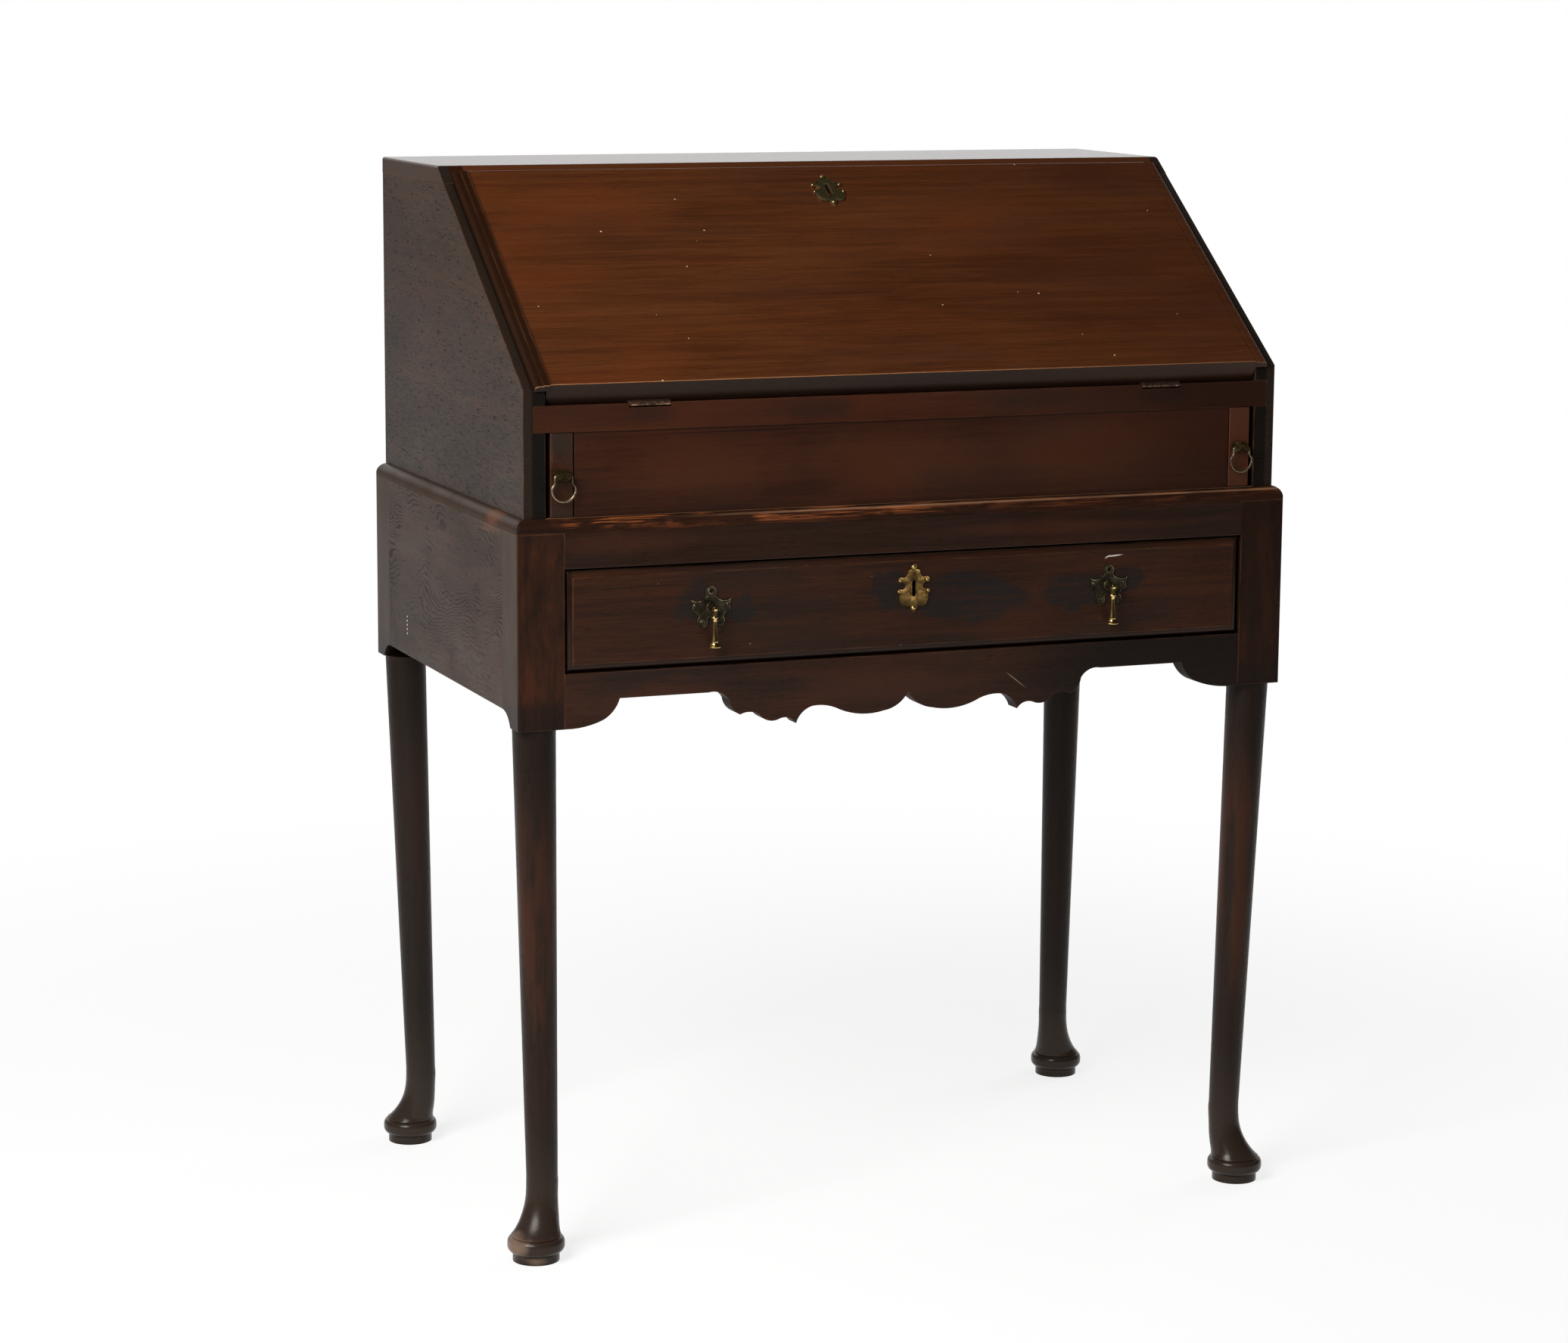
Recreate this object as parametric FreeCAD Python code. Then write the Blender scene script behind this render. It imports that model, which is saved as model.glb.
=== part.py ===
"""Slant-front bureau on a stand with turned pad-foot legs.

Millimetres.  X runs to the right, Y to the back and Z up.  The floor is Z = 0
and the origin lies under the middle of the whole piece.
"""
import FreeCAD, Part
import math
import os

V = FreeCAD.Vector

# Stand
stand_width = 780.0
stand_depth = 462.0
post_size = 45.0
post_foot_height = 507.5
post_arris = 1.5
rail_lift = 14.0
corner_hollow_radius = 24.0
rim_radius = 10.0
rim_height = 13.0
rail_thickness = 22.0
top_rail_height = 46.0
seat_depth = 8.0
seat_clearance = 0.3

# Turned legs, each with its foot set off its own shaft
neck_radius = 20.2
ankle_radius = 14.8
ankle_height = 78.0
ankle_offset = 9.0
pad_radius = 27.0
pad_height = 24.0
pad_rim_radius = 6.5
shoe_radius = 22.0
shoe_height = 8.0
# Flare of the foot: height, set-off and swell, each from pad (0) to ankle (1)
foot_flare_shares = ((0.72, 0.98, 0.03), (0.45, 0.82, 0.17), (0.24, 0.54, 0.42), (0.09, 0.22, 0.70))

# Drawer opening and shaped apron under it
opening_height = 96.5
apron_height = 51.0
apron_thickness = 20.0
apron_straight_height = 25.9
apron_lobe_depth = 4.3
apron_shift = 4.5
# Stations of the apron's shaping from the middle outwards, as shares of the way to the post
pendant_share = 0.3287
straight_share = 0.5812
cusp_share = 0.8328

# Stand drawer
drawer_gap = 1.2
drawer_setback = 1.0
drawer_front_thickness = 20.0
drawer_edge_radius = 6.0
drawer_edge_flat = 1.2
drawer_edge_step = 0.8
drawer_back_space = 39.0
drawer_wall = 10.0
drawer_side_drop = 10.0
drawer_bottom_thickness = 6.0
drawer_bottom_lift = 8.0
drawer_tail_count = 3
# Half-width of a dovetail at its root and at its tip, as shares of the pitch
drawer_tail_shares = (0.28, 0.34)
runner_width = 15.0
runner_thickness = 18.0
guide_height = 16.0

# Writing box, set in a little from the stand's edges
box_side_inset = 9.0
box_front_inset = 8.5
box_back_inset = 4.5
box_height = 313.0
slope_foot_height = 125.5
top_depth = 187.0
side_thickness = 21.0
top_thickness = 16.0
bottom_thickness = 8.0
back_thickness = 10.0
top_arris = 2.5

# Front rail, lopers, well and writing bed
front_rail_height = 24.5
front_rail_depth = 45.0
front_rail_lap = 12.0
front_rail_drop = 15.1
bed_thickness = 12.0
well_front_thickness = 18.0
guide_thickness = 12.0
loper_width = 22.0
loper_length = 300.0
loper_outer_gap = 4.7
loper_inner_gap = 0.8
loper_clearance = 0.4
loper_travel = 240.0
loper_arris = 1.2

# Sliding lid of the well, let into the bed on tongues
slide_width = 300.0
slide_length = 168.0
slide_front_margin = 25.0
slide_back_space = 50.6
slide_clearance = 0.4
slide_tongue = 8.0
slide_tongue_thickness = 4.0
slide_finger_width = 60.0
slide_finger_length = 14.0
slide_finger_depth = 4.0
slide_finger_round_share = 0.45

# Pigeonholes and small drawers inside
gallery_depth = 160.0
gallery_board = 6.0
inner_drawer_height = 50.0
inner_drawer_count = 3
inner_drawer_gap = 0.6
inner_drawer_front = 10.0
inner_drawer_wall = 5.0
inner_drawer_bottom = 3.0
inner_drawer_length = 150.0
inner_drawer_travel = 110.0
inner_drawer_side_drop = 6.0
pigeonhole_count = 6
arch_depth = 22.0
knob_radius = 6.5
knob_length = 12.0
knob_neck_radius = 2.6
knob_neck_length = 4.0
knob_round_share = 0.45

# Fall: a flat board with a moulded lip that closes on the sides and the top
fall_thickness = 23.0
fall_lip = 7.5
fall_side_gap = 1.0
fall_seat_gap = 0.3
fall_foot = 3.0
fall_top_gap = 1.0
fall_open_gap = 1.2
lip_exposed = 10.0
lip_top_overlap = 14.0
lip_edge_radius = 4.0
first_step_inset = 8.0
second_step_inset = 14.0
step_height = 1.0
loper_rest_gap = 0.3

# Butt hinges of the fall
hinge_length = 40.0
hinge_inset = 80.5
knuckle_radius = 2.7
knuckle_count = 5
knuckle_gap = 0.3
leaf_width = 20.0
leaf_thickness = 1.6
pin_radius = 1.2
pin_clearance = 0.06
hinge_recess_gap = 0.5

# Locks
lock_width = 62.0
lock_height = 36.0
lock_depth = 9.0
bolt_width = 14.0
bolt_thickness = 5.0
bolt_length = 24.0
bolt_clearance = 0.4
drawer_bolt_travel = 7.0
fall_bolt_travel = 12.0
mortise_spare = 2.0

# Pierced keyhole plates
plate_thickness = 1.5
escutcheon_width = 33.0
escutcheon_height = 46.0
drawer_escutcheon_drop = 33.4
fall_escutcheon_drop = 40.0
keyhole_width = 4.0
keyhole_height = 15.5

# Drop pulls of the drawer
pull_spread_share = 0.5905
pull_height_share = 0.57
rosette_width = 41.0
rosette_height = 39.0
rosette_eye_radius = 1.9
rosette_eye_share = 0.79
stem_radius = 3.4
stem_length = 6.0
cheek_thickness = 1.6
cheek_length = 6.0
tongue_thickness = 3.0
tongue_radius = 2.6
tongue_gap = 0.3
drop_pin_radius = 1.0
drop_pin_clearance = 0.08
drop_length = 36.0
drop_rim_radius = 6.2
drop_neck_radius = 1.9
drop_collar_share = 0.2
drop_collar_swell_share = 1.2
drop_swing = 80.0

# Bail pulls of the lopers
bail_half_spread = 4.4
bail_post_radius = 2.4
bail_post_length = 6.5
bail_wire_radius = 1.1
bail_clearance = 0.08
bail_elbow_radius = 1.6
bail_half_width = 11.3
bail_neck_drop = 3.6
bail_scroll_drop = 7.0
bail_plate_width = 17.0
bail_plate_height = 10.0
bail_plate_round_share = 0.4
bail_swing = 95.0

# Reach of a cutter past what it cuts, and the share of it that two places may differ by and still match
overrun = 5.0
match_share = 1e-4

# Places worked out from the sizes above
foot_overhang = pad_radius - post_size / 2
drop_axis_out = plate_thickness + stem_length + cheek_length - tongue_radius
pull_reach = drop_axis_out + max(drop_rim_radius, tongue_radius) - drawer_setback
stand_front = -stand_depth / 2 + (pull_reach - foot_overhang) / 2
stand_back = stand_front + stand_depth
stand_height = post_foot_height + apron_height + opening_height + top_rail_height
stand_half = stand_width / 2
post_inner = stand_half - post_size
opening_foot = post_foot_height + apron_height
opening_top = opening_foot + opening_height
pendant_reach = post_inner * pendant_share
straight_reach = post_inner * straight_share
cusp_reach = post_inner * cusp_share
stand_rail_foot = post_foot_height + rail_lift
rim_foot = stand_height - rim_height

box_front = stand_front + box_front_inset
box_back = stand_back - box_back_inset
box_depth = box_back - box_front
box_half = stand_half - box_side_inset
box_foot = stand_height - seat_depth
box_top = box_foot + box_height
inner_half = box_half - side_thickness
corner_height = box_foot + slope_foot_height
slope_run = box_depth - top_depth
slope_rise = box_top - corner_height
slope_angle = math.atan2(slope_rise, slope_run)
slope_length = math.hypot(slope_run, slope_rise)
top_underside = box_top - top_thickness
back_face = box_back - back_thickness

bed_top = corner_height - front_rail_drop
rail_foot = bed_top - front_rail_height
bed_underside = bed_top - bed_thickness
floor_top = box_foot + bottom_thickness
loper_outer = inner_half - loper_outer_gap
loper_inner = loper_outer - loper_width
well_half = loper_inner - loper_inner_gap
guide_inner = well_half - guide_thickness
loper_foot = floor_top + loper_clearance
loper_top = rail_foot - loper_clearance
loper_middle = (loper_outer + loper_inner) / 2

slide_front = box_front + front_rail_depth + slide_front_margin
gallery_front = back_face - gallery_depth
shelf_foot = bed_top + gallery_board + inner_drawer_height
pigeon_floor = shelf_foot + gallery_board

slope_place = FreeCAD.Placement(V(0, box_front, corner_height),
                                FreeCAD.Rotation(V(1, 0, 0), math.degrees(slope_angle)))


def on_slope(along, out):
    """Y and Z of a point given along the slope from its foot and out of it."""
    y = box_front + along * math.cos(slope_angle) - out * math.sin(slope_angle)
    z = corner_height + along * math.sin(slope_angle) + out * math.cos(slope_angle)
    return y, z


def hinge_axis():
    """Centre of the turn that brings the fall level with the writing bed."""
    y_shut, z_shut = on_slope(-fall_foot, fall_lip - fall_thickness)
    y_open = box_front - fall_open_gap
    z_open = bed_top
    reach = 1 / math.tan((math.pi - slope_angle) / 2) / 2
    y = (y_shut + y_open) / 2 - (z_open - z_shut) * reach
    z = (z_shut + z_open) / 2 + (y_open - y_shut) * reach
    return y, z


pin_y, pin_z = hinge_axis()
pin_along = (pin_y - box_front) * math.cos(slope_angle) + (pin_z - corner_height) * math.sin(slope_angle)
pin_out = (pin_z - corner_height) * math.cos(slope_angle) - (pin_y - box_front) * math.sin(slope_angle)
fall_half = box_half - lip_exposed


def fall_opening():
    """Degrees from shut until the fall rests on the drawn lopers."""
    ahead = loper_travel + pin_y - box_front
    below = pin_z - loper_top - loper_rest_gap
    fall_below = fall_lip - pin_out
    droop = math.atan2(below, ahead) - math.asin(fall_below / math.hypot(ahead, below))
    return math.degrees(math.pi - slope_angle + droop)


def block(x0, x1, y0, y1, z0, z1):
    return Part.makeBox(x1 - x0, y1 - y0, z1 - z0, V(x0, y0, z0))


def prism(points, direction):
    """Solid swept in one direction from a flat outline of points."""
    wire = Part.makePolygon(points + points[:1])
    return Part.Face(wire).extrude(direction)


def side_prism(yz_points, x0, x1):
    return prism([V(x0, y, z) for y, z in yz_points], V(x1 - x0, 0, 0))


def rod(radius, start, along):
    return Part.makeCylinder(radius, along.Length, start, along)


def mirrored(shape):
    return shape.mirror(V(0, 0, 0), V(1, 0, 0))


def edges_where(shape, test):
    """Edges whose every vertex passes the test."""
    return [e for e in shape.Edges if all(test(v.Point) for v in e.Vertexes)]


def near(a, b):
    return abs(a - b) < overrun * match_share


def save(name, *solids):
    shape = solids[0] if len(solids) == 1 else Part.makeCompound(list(solids))
    shape.exportStep("parts/%s.step" % name)


def stand_envelope():
    """The stand's outer form above the legs, with its rounded rim and the seat of the box."""
    body = block(-stand_half, stand_half, stand_front, stand_back, post_foot_height, stand_height)
    upright = [e for e in body.Edges if near(e.Vertexes[0].X, e.Vertexes[1].X)
               and near(e.Vertexes[0].Y, e.Vertexes[1].Y)]
    body = body.makeFillet(post_arris, upright)
    rim = edges_where(body, lambda p: near(p.z, stand_height))
    body = body.makeFillet(rim_radius, rim)
    reach = box_half + seat_clearance
    seat = block(-reach, reach, box_front - seat_clearance, box_back + seat_clearance,
                 box_foot, stand_height + overrun)
    return body.cut(seat)


def circle_at(x, y, z, radius):
    edge = Part.Circle(V(x, y, z), V(0, 0, 1), radius).toShape()
    return Part.Wire([edge])


def turned_shaft():
    """Tapered shaft and flaring foot for a leg whose inward side is +X and +Y."""
    upper = [circle_at(0, 0, post_foot_height, neck_radius),
             circle_at(ankle_offset, ankle_offset, ankle_height, ankle_radius)]
    flare = [upper[1]]
    rise = ankle_height - pad_height
    swell = pad_radius - pad_rim_radius / 2 - ankle_radius
    for height_share, offset_share, swell_share in foot_flare_shares:
        offset = ankle_offset * offset_share
        flare.append(circle_at(offset, offset, pad_height + rise * height_share,
                               ankle_radius + swell * swell_share))
    flare.append(circle_at(0, 0, pad_height, ankle_radius + swell))
    shaft = Part.makeLoft(upper, True, True)
    return shaft.fuse(Part.makeLoft(flare, True, False))


def pad_foot():
    """Round pad with a full rim on a smaller shoe, turned about the post's own axis."""
    pad = Part.makeCylinder(pad_radius, pad_height - shoe_height, V(0, 0, shoe_height))
    rims = [e for e in pad.Edges if len(e.Vertexes) == 1]
    pad = pad.makeFillet(pad_rim_radius, rims)
    return pad.fuse(Part.makeCylinder(shoe_radius, shoe_height))


def leg(envelope, x_side, y_side):
    """One leg: a square post, hollowed under the side rail, over a turned shaft and foot."""
    x_axis = x_side * (stand_half - post_size / 2)
    y_axis = (stand_front + stand_back) / 2 + y_side * (stand_depth - post_size) / 2
    turned = turned_shaft().fuse(pad_foot())
    if x_side > 0:
        turned = turned.mirror(V(0, 0, 0), V(1, 0, 0))
    if y_side > 0:
        turned = turned.mirror(V(0, 0, 0), V(0, 1, 0))
    turned.translate(V(x_axis, y_axis, 0))
    half = post_size / 2
    corner = block(x_axis - half, x_axis + half, y_axis - half, y_axis + half, post_foot_height, rim_foot)
    hollow = rod(corner_hollow_radius,
                 V(x_axis - half - overrun, y_axis - y_side * half, stand_rail_foot - corner_hollow_radius),
                 V(post_size + 2 * overrun, 0, 0))
    return envelope.common(corner).cut(hollow).fuse(turned).removeSplitter()


def side_rail(envelope):
    return envelope.common(block(stand_half - rail_thickness, stand_half, stand_front + post_size,
                                 stand_back - post_size, stand_rail_foot, rim_foot))


def back_rail(envelope):
    return envelope.common(block(-post_inner, post_inner, stand_back - rail_thickness, stand_back,
                                 stand_rail_foot, rim_foot))


def stand_rim(envelope):
    """Four lengths of rounded moulding, mitred round the top of the stand, that hold the box."""
    outer, inner = [[V(x, y, rim_foot) for x, y in ((-stand_half + inset, stand_front + inset),
                                                    (stand_half - inset, stand_front + inset),
                                                    (stand_half - inset, stand_back - inset),
                                                    (-stand_half + inset, stand_back - inset))]
                    for inset in (0, rail_thickness)]
    lengths = []
    for i in range(len(outer)):
        points = [outer[i - 1], outer[i], inner[i], inner[i - 1]]
        lengths.append(envelope.common(prism(points, V(0, 0, rim_height))))
    return lengths


def lock_mortise(x_middle, y_middle, z_foot, depth):
    half_width = bolt_width / 2 + bolt_clearance
    half_thick = bolt_thickness / 2 + bolt_clearance
    return block(x_middle - half_width, x_middle + half_width, y_middle - half_thick, y_middle + half_thick,
                 z_foot, z_foot + depth)


drawer_face = stand_front + drawer_setback
drawer_rear_face = drawer_face + drawer_front_thickness
drawer_bolt_y = drawer_rear_face + lock_depth / 2
drawer_rear_end = stand_back - rail_thickness - drawer_back_space
drawer_half = post_inner - drawer_gap
pull_spread = drawer_half * pull_spread_share
drawer_foot = opening_foot + drawer_gap / 2
drawer_top = opening_top - drawer_gap
drawer_side_top = drawer_top - drawer_side_drop
drawer_back_foot = drawer_foot + drawer_bottom_lift + drawer_bottom_thickness


def top_rail(envelope):
    """Rail over the drawer, with a mortise for the drawer's lock bolt."""
    rail = envelope.common(block(-post_inner, post_inner, stand_front, stand_front + post_size,
                                 opening_top, rim_foot))
    depth = drawer_bolt_travel + mortise_spare
    return rail.cut(lock_mortise(0, drawer_bolt_y, opening_top - overrun, depth + overrun))


def arc(points):
    return Part.Arc(*points).toShape()


def apron_half_outline():
    """Lower edge from the middle cusp out to the post, as arcs and one straight run.

    Each entry gives the places of a run's points as shares of the reach between
    its two named stations and of the drop below the apron's straight line.
    """
    straight = post_foot_height + apron_straight_height
    drop = apron_straight_height + apron_lobe_depth
    lobe_shares = ((0.0, 0.39), (0.10, 0.77), (0.216, 0.92), (0.41, 0.98), (0.61, 0.80), (0.77, 0.62),
                   (0.86, 0.63), (0.93, 0.76), (1.0, 1.14))
    scroll_shares = ((0.0, 1.14), (0.08, 0.955), (0.19, 0.96), (0.31, 1.0), (0.42, 0.80), (0.52, 0.69),
                     (0.64, 0.75), (0.74, 0.52), (0.77, 0.28), (0.85, 0.06), (1.0, 0.0))
    bracket_shares = ((0.0, 0.0), (0.10, 0.36), (0.28, 0.64), (0.55, 0.80), (1.0, 0.855))

    def station(start, end, share, depth_share):
        return V(start + (end - start) * share, stand_front, straight - drop * depth_share)

    lobe = [station(0, pendant_reach, *p) for p in lobe_shares]
    scroll = [station(pendant_reach, straight_reach, *p) for p in scroll_shares]
    bracket = [station(cusp_reach, post_inner, *p) for p in bracket_shares]
    return lobe, scroll, bracket


def arcs_through(points):
    """Arcs through every second point, in order."""
    return [arc(points[i:i + 3]) for i in range(0, len(points) - 2, 2)]


def apron():
    """Shaped rail under the drawer; the shaping sits a little left of the middle."""
    edges = []
    lobe, scroll, bracket = apron_half_outline()
    for side in (1, -1):
        def moved(points):
            out = [V(side * p.x - apron_shift, p.y, p.z) for p in points]
            if points is bracket:
                out[-1] = V(side * post_inner, stand_front, out[-1].z)
            return out
        runs = arcs_through(moved(lobe)) + arcs_through(moved(scroll))
        runs.append(Part.makeLine(moved(scroll)[-1], moved(bracket)[0]))
        runs += arcs_through(moved(bracket))
        foot = moved(bracket)[-1]
        runs.append(Part.makeLine(foot, V(side * post_inner, stand_front, opening_foot)))
        edges += runs
    edges.append(Part.makeLine(V(post_inner, stand_front, opening_foot),
                               V(-post_inner, stand_front, opening_foot)))
    wire = Part.Wire(Part.__sortEdges__(edges))
    return Part.Face(wire).extrude(V(0, apron_thickness, 0))


def drawer_supports():
    """Runners under the drawer's sides, with guides beside and kickers above them."""
    front = stand_front + post_size
    back = stand_back - rail_thickness
    rail_inner = stand_half - rail_thickness
    inner = post_inner - runner_width
    runner_front = stand_front + apron_thickness
    runner = block(inner, post_inner, runner_front, back, opening_foot - runner_thickness, opening_foot)
    ledge = block(post_inner, rail_inner, front, stand_back - post_size,
                  opening_foot - runner_thickness, opening_foot)
    guide = block(post_inner, rail_inner, front, stand_back - post_size, opening_foot,
                  opening_foot + guide_height)
    kicker = block(inner, rail_inner, front, stand_back - post_size, opening_top,
                   opening_top + runner_thickness)
    return runner.fuse(ledge).removeSplitter(), guide, kicker


def keyhole(depth):
    """Upright slot with round ends about the origin, cut through along +Y from Y = 0."""
    half = keyhole_width / 2
    reach = keyhole_height / 2 - half
    slot = block(-half, half, 0, depth, -reach, reach)
    for z in (-reach, reach):
        slot = slot.fuse(rod(half, V(0, 0, z), V(0, depth, 0)))
    return slot.removeSplitter()


def dovetails(root_y, tip_y, z0, z1):
    """Row of dovetails on the end of the drawer's right side, widening from their root to their tip."""
    pitch = (z1 - z0) / drawer_tail_count
    root, tip = [pitch * share for share in drawer_tail_shares]
    tails = []
    for i in range(drawer_tail_count):
        z = z0 + pitch * (i + 0.5)
        points = [(root_y, z - root), (root_y, z + root), (tip_y, z + tip), (tip_y, z - tip)]
        tails.append(side_prism(points, drawer_half - drawer_wall, drawer_half))
    return tails


def front_dovetails():
    return dovetails(drawer_rear_face, drawer_rear_face - drawer_wall, drawer_foot, drawer_side_top)


def back_dovetails():
    return dovetails(drawer_rear_end - drawer_wall, drawer_rear_end, drawer_back_foot, drawer_side_top)


def drawer_front():
    """Drawer front with a thumb moulding all round, a keyhole, and sockets for the sides' dovetails."""
    shoulder = drawer_face + drawer_edge_step
    front = block(-drawer_half, drawer_half, shoulder, drawer_rear_face, drawer_foot, drawer_top)
    front = front.makeFillet(drawer_edge_radius, edges_where(front, lambda p: near(p.y, shoulder)))
    inset = drawer_edge_radius + drawer_edge_flat
    field = block(inset - drawer_half, drawer_half - inset, drawer_face, drawer_rear_face,
                  drawer_foot + inset, drawer_top - inset)
    front = front.fuse(field).removeSplitter()
    hole = keyhole(drawer_front_thickness + overrun * 2)
    hole.translate(V(0, drawer_face - overrun, drawer_top - drawer_escutcheon_drop))
    for tail in front_dovetails():
        front = front.cut(tail).cut(mirrored(tail))
    return front.cut(hole)


def drawer_side():
    """Right side of the drawer, dovetailed into the front and back and grooved for the bottom."""
    side = block(drawer_half - drawer_wall, drawer_half, drawer_rear_face, drawer_rear_end,
                 drawer_foot, drawer_side_top)
    side = side.cut(block(drawer_half - drawer_wall, drawer_half, drawer_rear_end - drawer_wall,
                          drawer_rear_end, drawer_back_foot, drawer_side_top))
    for tail in front_dovetails() + back_dovetails():
        side = side.fuse(tail)
    return side.cut(drawer_bottom()).removeSplitter()


def drawer_bottom():
    reach = drawer_half - drawer_wall / 2
    z = drawer_foot + drawer_bottom_lift
    return block(-reach, reach, drawer_rear_face, drawer_rear_end, z, z + drawer_bottom_thickness)


def drawer_back():
    """Back of the drawer, standing on its bottom between the sides' dovetails."""
    back = block(-drawer_half, drawer_half, drawer_rear_end - drawer_wall, drawer_rear_end,
                 drawer_back_foot, drawer_side_top)
    for tail in back_dovetails():
        back = back.cut(tail).cut(mirrored(tail))
    return back


def lock_case(x_middle, y_front, z_top):
    """Box lock standing against a board's rear face, with a channel for its bolt."""
    case = block(x_middle - lock_width / 2, x_middle + lock_width / 2, y_front, y_front + lock_depth,
                 z_top - lock_height, z_top)
    channel = lock_mortise(x_middle, y_front + lock_depth / 2, z_top - bolt_length - bolt_clearance,
                           bolt_length + overrun)
    return case.cut(channel)


def lock_bolt(x_middle, y_front, z_top):
    y = y_front + lock_depth / 2
    return block(x_middle - bolt_width / 2, x_middle + bolt_width / 2, y - bolt_thickness / 2,
                 y + bolt_thickness / 2, z_top - bolt_length, z_top)


def escutcheon():
    """Pierced shield plate, its back on Y = 0 and its middle at the origin."""
    w = escutcheon_width / 2
    h = escutcheon_height / 2
    # Right half of the outline from the top nail lobe to the tail, as shares of half the width and height
    outline_shares = ((0.0, 1.0), (0.15, 0.93), (0.14, 0.78), (0.27, 0.77), (0.38, 0.64), (0.50, 0.49),
                      (0.72, 0.47), (0.92, 0.43), (0.88, 0.23), (0.65, 0.22), (0.52, 0.10), (0.63, -0.01),
                      (0.84, -0.02), (1.0, -0.12), (0.86, -0.23), (0.87, -0.44), (0.74, -0.66),
                      (0.50, -0.74), (0.24, -0.72), (0.16, -0.86), (0.0, -1.0))
    right = [V(w * x, 0, h * z) for x, z in outline_shares]
    left = [V(-p.x, 0, p.z) for p in reversed(right)]
    edges = arcs_through(right) + arcs_through(left)
    plate = Part.Face(Part.Wire(edges)).extrude(V(0, -plate_thickness, 0))
    hole = keyhole(plate_thickness + overrun * 2)
    hole.translate(V(0, -plate_thickness - overrun, 0))
    return plate.cut(hole)


def rosette():
    """Cross-shaped plate of a drop pull, its back on Y = 0 and its middle at the origin."""
    w = rosette_width / 2
    h = rosette_height / 2
    # Right half from the top lobe by the fishtail arm and the lower lobe to the notch for the drop
    outline_shares = ((0.0, 1.0), (0.24, 0.80), (0.18, 0.58), (0.56, 0.31), (0.98, 0.40), (0.88, 0.12),
                      (0.94, -0.16), (0.74, -0.22), (0.58, -0.46), (0.62, -0.80), (0.40, -0.98),
                      (0.22, -0.84), (0.22, -0.60), (0.12, -0.46), (0.0, -0.42))
    right = [V(w * x, 0, h * z) for x, z in outline_shares]
    left = [V(-p.x, 0, p.z) for p in reversed(right)]
    edges = arcs_through(right) + arcs_through(left)
    plate = Part.Face(Part.Wire(edges)).extrude(V(0, -plate_thickness, 0))
    eye = rod(rosette_eye_radius, V(0, overrun, h * rosette_eye_share),
              V(0, -plate_thickness - 2 * overrun, 0))
    return plate.cut(eye)


def pull_post():
    """Stem with two cheeks and the pin that a drop hangs on, its foot on a plate at Y = 0."""
    face = -plate_thickness
    stem = rod(stem_radius, V(0, face, 0), V(0, -stem_length, 0))
    outer = tongue_thickness / 2 + tongue_gap + cheek_thickness
    inner = tongue_thickness / 2 + tongue_gap
    cheeks = None
    for side in (1, -1):
        x0, x1 = sorted((side * inner, side * outer))
        cheek = block(x0, x1, -drop_axis_out, face - stem_length, -tongue_radius, tongue_radius)
        cheek = cheek.fuse(rod(tongue_radius, V(x0, -drop_axis_out, 0), V(x1 - x0, 0, 0)))
        cheeks = cheek if cheeks is None else cheeks.fuse(cheek)
    pin = rod(drop_pin_radius, V(-outer, -drop_axis_out, 0), V(2 * outer, 0, 0))
    return stem.fuse(cheeks).fuse(pin).removeSplitter()


def hanging_drop():
    """Trumpet-shaped drop turned about a line below the hanging pin at the origin."""
    # Collar, neck, flaring bell and rim, as shares of the rim's radius and of the length
    profile_shares = ((0.0, -drop_collar_share), (0.45, -0.20), (0.45, -0.25), (0.30, -0.29), (0.36, -0.56),
                      (0.56, -0.84), (0.70, -0.93), (1.0, -0.955), (1.0, -0.985), (0.84, -1.0), (0.0, -1.0))
    points = [V(drop_rim_radius * x, 0, drop_length * z) for x, z in profile_shares]
    swell = V(points[1].x * drop_collar_swell_share, 0, (points[1].z + points[2].z) / 2)
    edges = [Part.makeLine(points[0], points[1]), arc([points[1], swell, points[2]]),
             Part.makeLine(points[2], points[3]), arc(points[3:6]), arc(points[5:8]),
             Part.makePolygon(points[7:] + points[:1])]
    bell = Part.Face(Part.Wire(edges)).revolve(V(0, 0, 0), V(0, 0, 1), 360)
    half = tongue_thickness / 2
    tongue = rod(tongue_radius, V(-half, 0, 0), V(tongue_thickness, 0, 0))
    neck = block(-half, half, -drop_neck_radius, drop_neck_radius, -drop_length * drop_collar_share, 0)
    eye = rod(drop_pin_radius + drop_pin_clearance, V(-half - overrun, 0, 0),
              V(tongue_thickness + 2 * overrun, 0, 0))
    return bell.fuse(neck).fuse(tongue).cut(eye).removeSplitter()


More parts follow.
